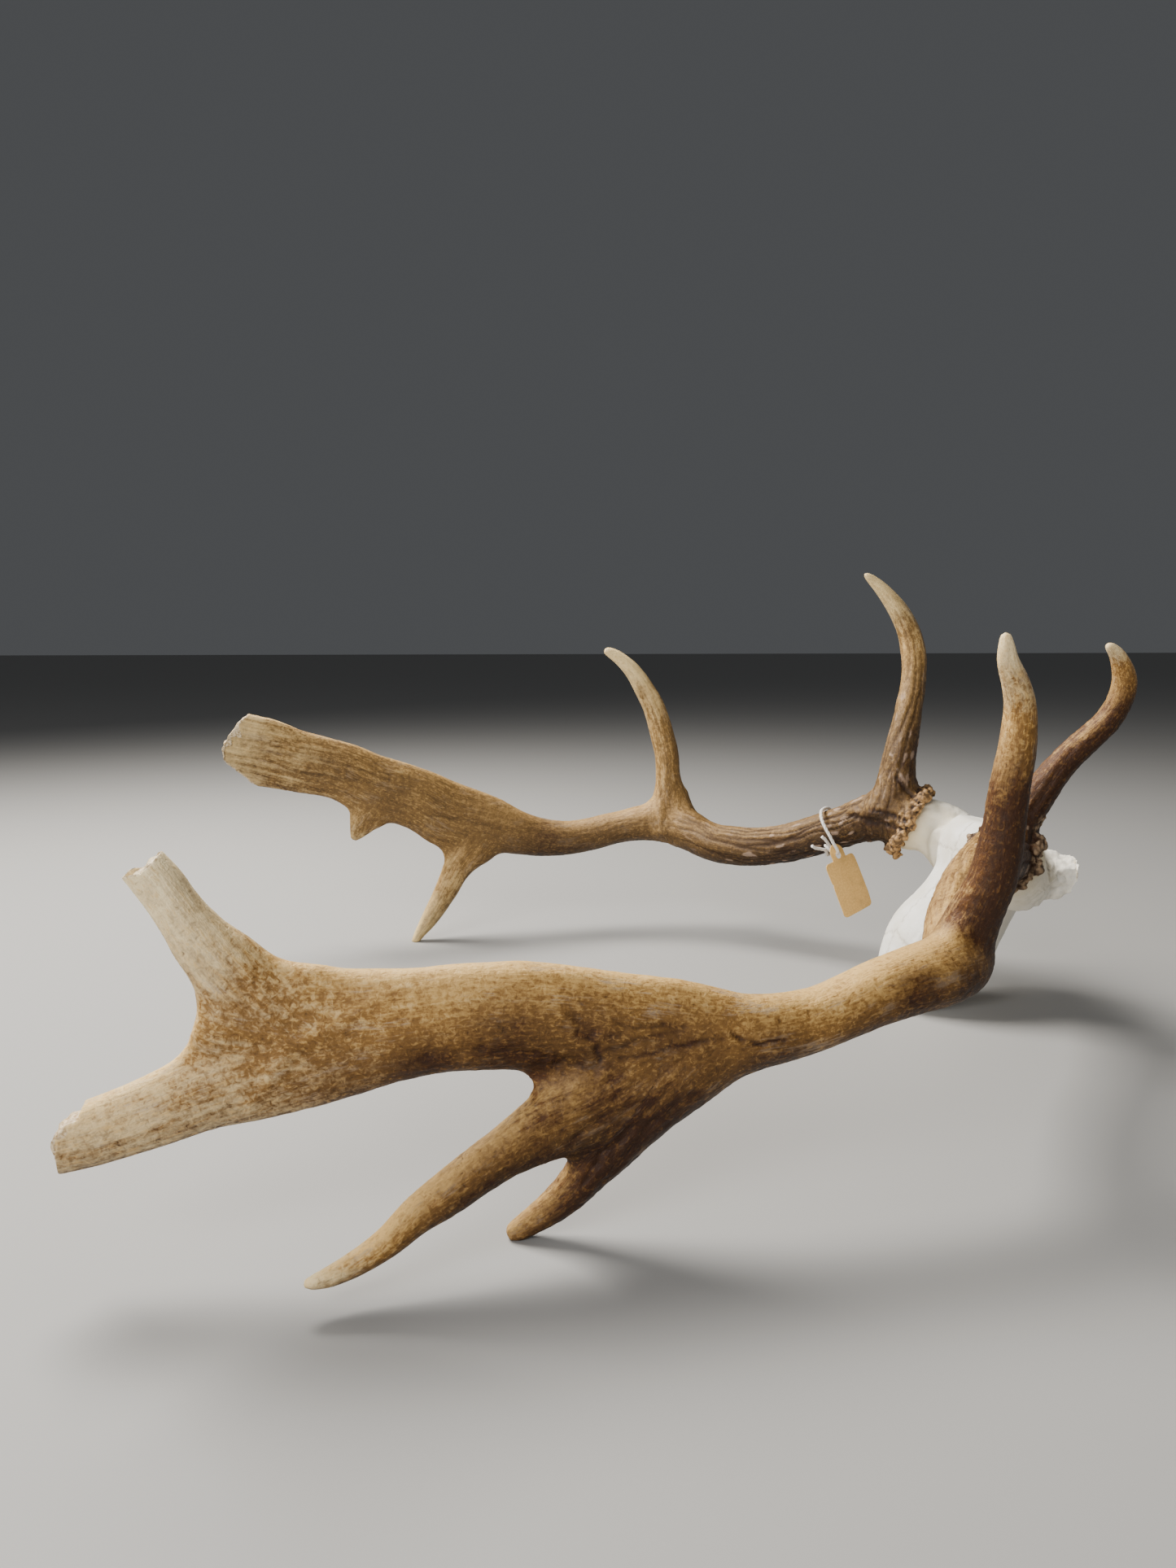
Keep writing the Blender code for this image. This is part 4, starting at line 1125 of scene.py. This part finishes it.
def tag_outline():
    """The card's outline round its hole: rounded corners, the neck's arc and a small nick."""
    half, neck = TAG_WIDTH / 2, TAG_NECK_WIDTH / 2
    shoulder, foot = -TAG_SHOULDER_DROP, -TAG_SHOULDER_DROP - TAG_BODY
    arcs = (
        (half - TAG_CORNER, shoulder - TAG_CORNER, TAG_CORNER, 0, 90, 6),
        (neck + TAG_NECK_FILLET, shoulder + TAG_NECK_FILLET, TAG_NECK_FILLET, 270, 180, 4),
        (0.0, TAG_NECK_RISE - neck, neck, 0, 180, 24),
        (-neck - TAG_NECK_FILLET, shoulder + TAG_NECK_FILLET, TAG_NECK_FILLET, 360, 270, 4),
        (-half + TAG_CORNER, shoulder - TAG_CORNER, TAG_CORNER, 90, 180, 6),
        (-half + TAG_CORNER, foot + TAG_CORNER, TAG_CORNER, 180, 270, 6),
        (half - TAG_CORNER, foot + TAG_CORNER, TAG_CORNER, 270, 360, 6),
    )
    points = []
    for x, y, radius, start, end, steps in arcs:
        for step in range(steps + 1):
            angle = math.radians(start + (end - start) * step / steps)
            points.append((x + radius * math.cos(angle), y + radius * math.sin(angle)))
        if start == 90:
            points += [(-half + inset * MM, rise * MM) for inset, rise in TAG_NICK]
    return points


def flat_card():
    """The punched card, flat, with its top face cut into small squares."""
    shell = bmesh.new()
    edges = []
    angles = 2 * math.pi * np.arange(TAG_HOLE_POINTS) / TAG_HOLE_POINTS
    hole = [(TAG_HOLE_RADIUS * math.cos(angle), TAG_HOLE_RADIUS * math.sin(angle)) for angle in angles]
    for outline in (tag_outline(), hole):
        verts = [shell.verts.new((x, y, 0.0)) for x, y in outline]
        edges += [shell.edges.new((a, b)) for a, b in zip(verts, verts[1:] + verts[:1])]
    bmesh.ops.triangle_fill(shell, edges=edges, use_beauty=True, normal=(0, 0, 1))
    for way, count, start in TAG_GRID:
        for i in range(count):
            everything = shell.verts[:] + shell.edges[:] + shell.faces[:]
            place = Vector(way) * (start * MM + i * MM)
            bmesh.ops.bisect_plane(shell, geom=everything, plane_co=place, plane_no=way)
    bmesh.ops.recalc_face_normals(shell, faces=shell.faces)
    raised = bmesh.ops.extrude_face_region(shell, geom=shell.faces[:])
    for item in raised["geom"]:
        if isinstance(item, bmesh.types.BMVert):
            item.co.z += TAG_THICKNESS
    bmesh.ops.recalc_face_normals(shell, faces=shell.faces)
    mesh = bpy.data.meshes.new("manila_tag")
    shell.to_mesh(mesh)
    shell.free()
    return mesh


def build_tag(material):
    """A punched card, softly bent, with one shoulder curled back."""
    mesh = flat_card()
    flat = points_of(mesh)
    flat[:, 2] -= TAG_THICKNESS / 2
    x, y = flat[:, 0], flat[:, 1]
    # One shoulder curls back, the more the further out, and the card bows a little both ways.
    curl = -np.maximum(x * 0.8 + y * 0.6 - 5.5 * MM, 0) ** 2 * 28
    bow = -((y + 15 * MM) / (24 * MM)) ** 2 * 0.9 * MM - (x / (13 * MM)) ** 2 * 0.5 * MM
    off_hole = fade(np.hypot(x, y), TAG_HOLE_RADIUS, 9 * MM)
    bent = flat.copy()
    bent[:, 2] += (curl + bow + noise_at(flat, 9, 61) * 0.25 * MM) * off_hole
    turned = Matrix.Rotation(TAG_TURN, 4, "Z") @ Matrix.Rotation(TAG_LEAN, 4, "Y")
    place = Matrix.Translation(TAG_HOLE) @ turned @ Matrix.Rotation(TAG_PITCH + math.pi / 2, 4, "X")
    turn, shift = np.array(place.to_3x3()), np.array(place.translation)
    set_points(mesh, bent @ turn.T + shift)
    store(mesh, card=flat)
    tag = new_object("manila_tag", mesh)
    mesh.materials.append(material)
    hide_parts("tag")
    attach(tag, "root")
    return tag


def even_points(route, count):
    """Points at equal steps along the smooth curve through a route."""
    rows = smooth_rows(route, FINE_STEPS) * MM + MIDDLE
    travel = travel_along(rows)
    at = np.linspace(0, travel[-1], count)
    return np.stack([np.interp(at, travel, rows[:, i]) for i in range(3)], axis=1)


def twist_tree(material):
    """Strands laid round each other along a path: a lobed section that turns as it goes."""
    tree, given, result = new_tree(
        "GeometryNodeTree", "twisted_cord",
        [("Geometry", "Geometry", None), ("Radius", "Float", 1.1 * MM), ("Lobe Depth", "Float", 0.1 * MM),
         ("Strands", "Int", 3), ("Turn Length", "Float", 8 * MM), ("Step", "Float", 0.4 * MM)],
        [("Geometry", "Geometry")],
    )
    path = add(tree, "GeometryNodeResampleCurve", {
        "Curve": given.outputs["Geometry"], "Length": given.outputs["Step"],
    }, mode="LENGTH")
    along = add(tree, "GeometryNodeSplineParameter")
    turns = maths(tree, "DIVIDE", along.outputs["Length"], given.outputs["Turn Length"])
    tilt = maths(tree, "MULTIPLY", turns, 2 * math.pi)
    tilted = add(tree, "GeometryNodeSetCurveTilt", {"Curve": path.outputs[0], "Tilt": tilt})
    circle = add(tree, "GeometryNodeCurvePrimitiveCircle", {"Resolution": 30, "Radius": 1.0})
    around = add(tree, "GeometryNodeSplineParameter")
    angle = maths(tree, "MULTIPLY", around.outputs["Factor"], 2 * math.pi)
    lobes = maths(tree, "MULTIPLY", angle, given.outputs["Strands"])
    wave = maths(tree, "ABSOLUTE", maths(tree, "SINE", maths(tree, "MULTIPLY", lobes, 0.5)))
    rise = maths(tree, "MULTIPLY", maths(tree, "SUBTRACT", wave, 1.0), given.outputs["Lobe Depth"])
    reach = maths(tree, "ADD", rise, given.outputs["Radius"])
    place = add(tree, "GeometryNodeInputPosition").outputs[0]
    section = add(tree, "GeometryNodeSetPosition", {
        "Geometry": circle.outputs["Curve"], "Position": scaled(tree, place, reach),
    })
    tube = add(tree, "GeometryNodeCurveToMesh", {
        "Curve": tilted.outputs[0], "Profile Curve": section.outputs[0], "Fill Caps": True,
    })
    real_and_painted(tree, tube.outputs[0], material, result)
    return tree


def straight_places(mesh, path):
    """How far along the path each point is, and its place across it, for the yarn's own grain."""
    points = points_of(mesh)
    along = unit(np.gradient(path, axis=0))
    nearest = ((points[:, None] - path[None]) ** 2).sum(2).argmin(1)
    offset = points - path[nearest]
    side = unit(np.cross(along, (0.31, 0.90, -0.30)))
    rise = np.cross(along, side)
    return np.stack((
        travel_along(path)[nearest] + (offset * along[nearest]).sum(1),
        (offset * side[nearest]).sum(1), (offset * rise[nearest]).sum(1),
    ), axis=1)


def build_string(tree):
    """The string through the tag's hole and round the beam, and the knot that closes it."""
    route, knot_path = even_points(STRING_ROUTE, STRING_POINTS), even_points(KNOT_ROUTE, KNOT_POINTS)
    for name, path, diameter in (
        ("cotton_string", route, STRING_DIAMETER), ("string_knot", knot_path, KNOT_DIAMETER),
    ):
        radius = diameter / 2
        thing = grow(curve_object(name + "_path", path), tree, {
            "Radius": radius, "Lobe Depth": LOBE_SHARE * radius, "Strands": STRANDS,
            "Turn Length": TURN_LENGTH, "Step": YARN_STEP,
        })
        thing.name = name
        store(thing.data, yarn=straight_places(thing.data, path))
        set_points(thing.data, points_of(thing.data))       # inside the part's box
        thing.data.shade_smooth()
        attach(thing, "root")
    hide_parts("tag_string")


# ---------------------------------------------------------------- materials

def colour(*srgb):
    """A colour as it is seen, 0 to 255, in the linear values that shaders take."""
    return (*[(v / 255 / 12.92 if v < 10.3 else ((v / 255 + 0.055) / 1.055) ** 2.4) for v in srgb], 1.0)


def noise_of(tree, vector, scale, detail=2.0, roughness=0.5, distortion=0.0):
    """A noise texture's value; scale is in cells for each metre."""
    made = add(tree, "ShaderNodeTexNoise", {
        "Vector": vector, "Scale": scale, "Detail": detail, "Roughness": roughness, "Distortion": distortion,
    })
    return made.outputs["Fac"]


def ranged(tree, value, low, high, to_low=0.0, to_high=1.0, shape="SMOOTHSTEP"):
    """A value's place between low and high, led to another range, smoothly or in a line."""
    return add(tree, "ShaderNodeMapRange", {
        "Value": value, "From Min": low, "From Max": high, "To Min": to_low, "To Max": to_high,
    }, interpolation_type=shape).outputs["Result"]


def mixed(tree, share, a, b, blend="MIX"):
    """Colour a with the given share of colour b over it."""
    sockets = {0: share, 6: a, 7: b}
    return add(tree, "ShaderNodeMix", sockets, data_type="RGBA", blend_type=blend).outputs[2]


def attribute(tree, name, output="Fac"):
    """What store() kept on the mesh under a name."""
    return add(tree, "ShaderNodeAttribute", attribute_name=name).outputs[output]


def grain_group():
    """Noise drawn out along an antler's own limbs, with the two patterns blended at its forks."""
    tree, given, result = new_tree(
        "ShaderNodeTree", "limb_grain",
        [("Along", "Float", 20.0), ("Across", "Float", 1.0), ("Detail", "Float", 2.0),
         ("Shift", "Float", 0.0)],
        [("Value", "Float")],
    )
    along = maths(tree, "DIVIDE", 1 / MM, given.outputs["Along"])
    across = maths(tree, "DIVIDE", 1 / MM, given.outputs["Across"])
    scale = add(tree, "ShaderNodeCombineXYZ", {"X": along, "Y": across, "Z": across}).outputs[0]
    values = []
    for name in ("flow_main", "flow_tine"):
        stretched = add(tree, "ShaderNodeVectorMath", {
            0: attribute(tree, name, "Vector"), 1: scale, 2: given.outputs["Shift"],
        }, operation="MULTIPLY_ADD")
        values.append(add(tree, "ShaderNodeTexNoise", {
            "Vector": stretched.outputs[0], "Scale": 1.0, "Detail": given.outputs["Detail"], "Roughness": 0.6,
        }).outputs["Fac"])
    blend = add(tree, "ShaderNodeMix", {2: values[0], 3: values[1], 0: attribute(tree, "on_tine")})
    tree.links.new(blend.outputs[0], result.inputs["Value"])
    return tree


# What each antler chooses for its surface: the tones of its furrows, body, lights, worn tips, grey
# veil, rubbed crests, burr knobs and dark spots of stain and painted shade, and how much painted
# shading lightens the side that faces the key lamp and darkens the side away, how much its furrowed
# parts are darker, and how its grain is streaked and speckled.
TONES = ("Deep", "Body", "Light", "Tip", "Bloom", "Crest", "Knob", "Stain And Shade")
MEASURES = ("Painted Shading", "Darkness", "Streak", "Speckle")


def antler_group(grain):
    """The look of antler: grained brown with painted shading, flecks, pits, and stains mixed with painted
    shade.
    """
    tree, given, result = new_tree(
        "ShaderNodeTree", "antler_surface",
        [(name, "Color", None) for name in TONES] + [(name, "Float", None) for name in MEASURES],
        [("Color", "Color"), ("Roughness", "Float"), ("Height", "Float")],
    )
    chosen = given.outputs
    deep, body, light = chosen["Deep"], chosen["Body"], chosen["Light"]

    def read(name):
        return attribute(tree, name)

    def about_zero(value):
        return maths(tree, "SUBTRACT", value, 0.5)

    def times(a, b):
        return maths(tree, "MULTIPLY", a, b)

    def plus(total, *parts):
        """The total and each part, given as (value, factor)."""
        for value, factor in parts:
            total = maths(tree, "MULTIPLY_ADD", value, factor, total)
        return total

    def step(value, low, high, to_low=0.0, to_high=1.0):
        return ranged(tree, value, low, high, to_low, to_high)

    def ramp(value, low, high, to_low=0.0, to_high=1.0):
        return ranged(tree, value, low, high, to_low, to_high, "LINEAR")

    def over(ground, share, tone, blend="MIX"):
        return mixed(tree, share, ground, tone, blend)

    def along_limbs(along, across, detail, shift):
        """Grain about 0, from about -0.3 to 0.3; along and across are its size in millimetres."""
        node = add(tree, "ShaderNodeGroup", {
            "Along": along, "Across": across, "Detail": detail, "Shift": shift,
        }, node_tree=grain)
        return about_zero(node.outputs["Value"])

    def spread(scale, detail, roughness=0.6, distortion=0.0):
        return about_zero(noise_of(tree, place, scale, detail, roughness, distortion))

    place = add(tree, "ShaderNodeTexCoord").outputs["Object"]
    cloud, blotch, mottle = spread(26.0, 2.0), spread(75.0, 3.0), spread(230.0, 4.0, 0.65)
    curls = times(spread(520.0, 3.0, 0.6, 0.9), chosen["Speckle"])
    pores = noise_of(tree, place, 900.0, 2.0)
    cells = add(tree, "ShaderNodeTexVoronoi", {"Vector": place, "Scale": 300.0}).outputs["Distance"]
    strands, fibres = along_limbs(34.0, 2.8, 3.0, 2.0), along_limbs(6.0, 0.7, 2.0, 5.0)
    flecks, veil = along_limbs(2.6, 1.1, 2.0, 9.0), along_limbs(26.0, 8.0, 3.0, 31.0)
    # The side share is painted shading: lighter towards the key lamp, darker away from it.
    weathered = about_zero(read("weathered"))

    # From deep brown through the body's own to its light, by grain and wear, darker in hollows, with painted
    # shading: lighter towards the key lamp and darker away from it.
    tone = maths(tree, "MULTIPLY_ADD", weathered, chosen["Painted Shading"], 0.46)
    tone = maths(tree, "ADD", tone, times(strands, chosen["Streak"]))
    tone = plus(tone, (cloud, 0.5), (blotch, 0.45), (mottle, 0.6), (curls, 1.2), (fibres, 0.6), (flecks, 0.9))
    tone = maths(tree, "SUBTRACT", tone, times(read("furrowed"), chosen["Darkness"]))
    tone = plus(tone, (read("relief"), 0.22))
    ground = over(deep, ramp(tone, -0.35, 0.5), body)
    ground = over(ground, ramp(tone, 0.45, 1.1), light)
    ground = over(ground, step(plus(veil, (fibres, 0.7)), 0.05, 0.24, 0.0, 0.65), chosen["Bloom"])

    # Worn tips, light sparks, and dark spots of real stain and painted shade.
    pale = plus(read("pale"), (strands, 0.9), (blotch, 0.45), (curls, 0.9), (mottle, 0.4))
    ground = over(ground, ramp(pale, 0.12, 1.0, 0.0, 0.95), chosen["Tip"])
    sparks = step(plus(curls, (flecks, 0.7), (fibres, 0.5)), 0.05, 0.22)
    ground = over(ground, times(sparks, 0.35), light)
    # The dark spots of stain and painted shade are weaker on the side that faces the key lamp.
    uneven = plus(1.0, (mottle, 1.6), (strands, 1.6), (fibres, 1.0), (blotch, 0.5), (weathered, -0.7))
    stain = plus(times(read("stain"), uneven), (read("line"), 0.8))
    ground = over(ground, ramp(stain, 0.0, 1.0), chosen["Stain And Shade"], "MULTIPLY")
    ground = over(ground, ramp(stain, 0.9, 1.9, 0.0, 0.8), deep)
    ground = over(ground, times(sparks, 0.22), body)

    # Rubbed crests, dark furrows and pits.
    ground = over(ground, step(plus(read("crest"), (fibres, 0.8)), 0.22, 0.90, 0.0, 0.5), chosen["Crest"])
    dark = step(plus(read("furrow"), (fibres, 0.6)), 0.15, 0.95, 0.0, 0.85)
    ground = over(ground, dark, deep)
    pits = step(plus(curls, (mottle, 0.5), (read("stain"), -0.07)), -0.16, -0.28, 0.0, 0.5)
    ground = over(ground, pits, deep)

    # The burr's knobs and the broken ends.
    lump = step(plus(read("relief"), (mottle, 1.8), (pores, 0.3)), -0.55, 0.75)
    knob = over(deep, lump, chosen["Knob"])
    knob = over(knob, step(plus(cells, (curls, 0.5)), 0.42, 0.68, 0.0, 0.75), deep)
    ground = over(ground, read("burr"), knob)
    rough_break = over(colour(150, 122, 84), step(pores, 0.35, 0.6), colour(228, 210, 178))
    ground = over(ground, times(read("broken"), 0.7), rough_break)
    tree.links.new(ground, result.inputs["Color"])

    gloss = step(plus(read("pale"), (fibres, 0.8)), 0.0, 1.0, 0.62, 0.46)
    tree.links.new(plus(gloss, (dark, 0.25)), result.inputs["Roughness"])
    height = plus(times(fibres, 0.5), (flecks, 0.7), (curls, 0.8), (pores, 0.2))
    height = plus(height, (times(read("burr"), cells), -3.0))
    tree.links.new(height, result.inputs["Height"])
    return tree


def new_material(name, roughness=0.6):
    """A material with its tree and its one shader."""
    material = bpy.data.materials.new(name)
    material.use_nodes = True
    tree = material.node_tree
    shader = tree.nodes["Principled BSDF"]
    shader.inputs["Roughness"].default_value = roughness
    return material, tree, shader


def dress(tree, shader, tone, height, distance, strength=1.0):
    """Leads a surface's colour and bump into its shader."""
    tree.links.new(tone, shader.inputs["Base Color"])
    bump = add(tree, "ShaderNodeBump", {"Strength": strength, "Distance": distance, "Height": height})
    tree.links.new(bump.outputs[0], shader.inputs["Normal"])


def antler_material(name, group, choices):
    """An antler's own material: the shared surface with the antler's tones and measures."""
    material, tree, shader = new_material(name)
    values = {key: colour(*value) if key in TONES else value for key, value in choices.items()}
    look = add(tree, "ShaderNodeGroup", values, node_tree=group)
    shader.inputs["Specular IOR Level"].default_value = 0.35
    tree.links.new(look.outputs["Roughness"], shader.inputs["Roughness"])
    dress(tree, shader, look.outputs["Color"], look.outputs["Height"], 0.4 * MM)
    return material


def bone_material():
    """White bone, warm on its pedicles, darker in its hollows, with dirt in its seams and a spongy sawn face.
    """
    material, tree, shader = new_material("weathered_skull_bone")

    def part(name, share):
        return maths(tree, "MULTIPLY", attribute(tree, name), share)

    place = add(tree, "ShaderNodeTexCoord").outputs["Object"]
    cloud = noise_of(tree, place, 45.0, 3.0)
    grain = noise_of(tree, place, 420.0, 4.0, 0.65)
    pits = noise_of(tree, place, 1300.0, 2.0)
    pores = add(tree, "ShaderNodeTexVoronoi", {"Vector": place, "Scale": 620.0}).outputs["Distance"]
    tone = mixed(tree, ranged(tree, cloud, 0.3, 0.7), colour(244, 241, 232), colour(226, 219, 202))
    spongy = mixed(tree, ranged(tree, pores, 0.25, 0.5), colour(120, 98, 70), colour(222, 208, 178))
    for share, layer in (
        (part("pedicle", ranged(tree, cloud, 0.25, 0.7, 0.5, 1.0)), colour(220, 204, 166)),
        (part("rim", ranged(tree, grain, 0.35, 0.7, 0.2, 0.9)), colour(248, 240, 222)),
        (ranged(tree, grain, 0.56, 0.78, 0.0, 0.3), colour(196, 185, 162)),
        # darker where the bone lies in a hollow
        (ranged(tree, attribute(tree, "relief"), 0.0, -1.6, 0.0, 0.5), colour(150, 136, 112)),
        (part("suture", 0.42), colour(140, 122, 94)),
        (part("inner", 0.55), colour(198, 182, 150)),
        (part("sawn", 0.9), spongy),
    ):
        tone = mixed(tree, share, tone, layer)
    height = maths(tree, "ADD", grain, maths(tree, "MULTIPLY", pits, 0.5))
    height = maths(tree, "MULTIPLY_ADD", part("sawn", pores), 2.0, height)
    tree.links.new(ranged(tree, grain, 0.3, 0.7, 0.58, 0.78), shader.inputs["Roughness"])
    dress(tree, shader, tone, height, 0.25 * MM)
    return material


def card_material():
    """Manila card: short fibres and faint clouds in straw brown."""
    material, tree, shader = new_material("manila_card", 0.85)
    place = attribute(tree, "card", "Vector")
    fibre = noise_of(tree, place, 900.0, 4.0, 0.7)
    cloud = noise_of(tree, place, 110.0, 3.0)
    tone = mixed(tree, ranged(tree, fibre, 0.35, 0.7), colour(220, 172, 98), colour(238, 196, 120))
    tone = mixed(tree, ranged(tree, cloud, 0.5, 0.75, 0.0, 0.5), tone, colour(192, 148, 86))
    dress(tree, shader, tone, fibre, 0.08 * MM, 0.6)
    return material


def string_material():
    """White cotton yarn, fuzzy with fibres along its own path."""
    material, tree, shader = new_material("cotton_yarn", 0.9)
    fibre = noise_of(tree, attribute(tree, "yarn", "Vector"), 2600.0, 3.0, 0.6)
    tone = mixed(tree, ranged(tree, fibre, 0.3, 0.7), colour(206, 200, 190), colour(238, 235, 228))
    dress(tree, shader, tone, fibre, 0.12 * MM, 0.8)
    return material


# ---------------------------------------------------------------- the whole

grain = grain_group()
surface = antler_group(grain)
near_antler = antler_material("near_antler", surface, {
    "Deep": (52, 28, 8), "Body": (147, 106, 50), "Light": (232, 188, 112), "Tip": (255, 234, 184),
    "Bloom": (178, 156, 130), "Crest": (178, 152, 126), "Knob": (150, 124, 94), "Stain And Shade": (112, 86, 54),
    "Painted Shading": 1.3, "Darkness": 0.40, "Streak": 0.5, "Speckle": 0.85,
})
far_antler = antler_material("far_antler", surface, {
    "Deep": (46, 26, 8), "Body": (138, 105, 56), "Light": (212, 171, 105), "Tip": (246, 218, 158),
    "Bloom": (154, 130, 100), "Crest": (182, 156, 136), "Knob": (168, 130, 82), "Stain And Shade": (108, 88, 70),
    "Painted Shading": 0.95, "Darkness": 0.45, "Streak": 1.1, "Speckle": 0.6,
})
knobs = burr_tree(near_antler)
build_antler("left", LEFT_LIMBS, LEFT_BURR, knobs, far_antler, (
    "left_beam", "left_brow_tine", "left_trez_tine", "left_palm", "left_back_tine",
))
build_antler("right", RIGHT_LIMBS, RIGHT_BURR, knobs, near_antler, (
    "right_beam", "right_brow_tine", "right_trez_tine", "right_palm", "right_long_tine",
    "right_short_tine", "right_upper_prong", "right_lower_prong",
))
build_skull_plate(bone_material())
tag = build_tag(card_material())
cotton = string_material()
build_string(twist_tree(cotton))

# ---------------------------------------------------------------- floor and light

FLOOR_SIZE = 40.0
AIR_COLOUR, AIR_STRENGTH = (0.75, 0.78, 0.82, 1.0), 0.10


def add_floor():
    """The pale, matt surface under the antlers."""
    mesh = bpy.data.meshes.new("floor")
    half = FLOOR_SIZE / 2
    corners = [(x * half, y * half, 0) for x, y in ((-1, -1), (1, -1), (1, 1), (-1, 1))]
    mesh.from_pydata(corners, [], [(0, 1, 2, 3)])
    floor = new_object("floor", mesh)
    material, _, shader = new_material("pale_floor", 0.7)
    shader.inputs["Base Color"].default_value = colour(158, 156, 152)
    mesh.materials.append(material)
    return floor


def add_light(name, place, target, size, power, warmth=(1.0, 1.0, 1.0)):
    """A rectangular light at a place, turned towards its target."""
    data = bpy.data.lights.new(name, "AREA")
    data.shape = "RECTANGLE"
    data.size, data.size_y = size
    data.energy = power
    data.color = warmth
    light = new_object(name, data)
    light.location = place
    light.rotation_euler = (Vector(target) - Vector(place)).to_track_quat("-Z", "Y").to_euler()
    return light


def add_world():
    """A dim, cool room all round, for what the lights don't reach."""
    world = bpy.data.worlds.new("studio")
    bpy.context.scene.world = world
    world.use_nodes = True
    background = world.node_tree.nodes["Background"]
    background.inputs["Color"].default_value = AIR_COLOUR
    background.inputs["Strength"].default_value = AIR_STRENGTH


add_world()
add_floor()
add_light(
        "key", place=(-0.55, 0.55, 1.15), target=(0.0, 0.0, 0.08), size=(0.8, 0.6), power=49.0,
        warmth=(1.0, 0.97, 0.93),
    )
add_light(
        "fill", place=(-1.15, -1.25, 0.95), target=(0.0, 0.0, 0.08), size=(1.0, 1.0), power=30.0,
        warmth=(0.99, 0.99, 1.0),
    )
add_light("side", place=(1.3, 0.1, 0.7), target=(0.05, 0.0, 0.08), size=(0.6, 0.9), power=1.8)
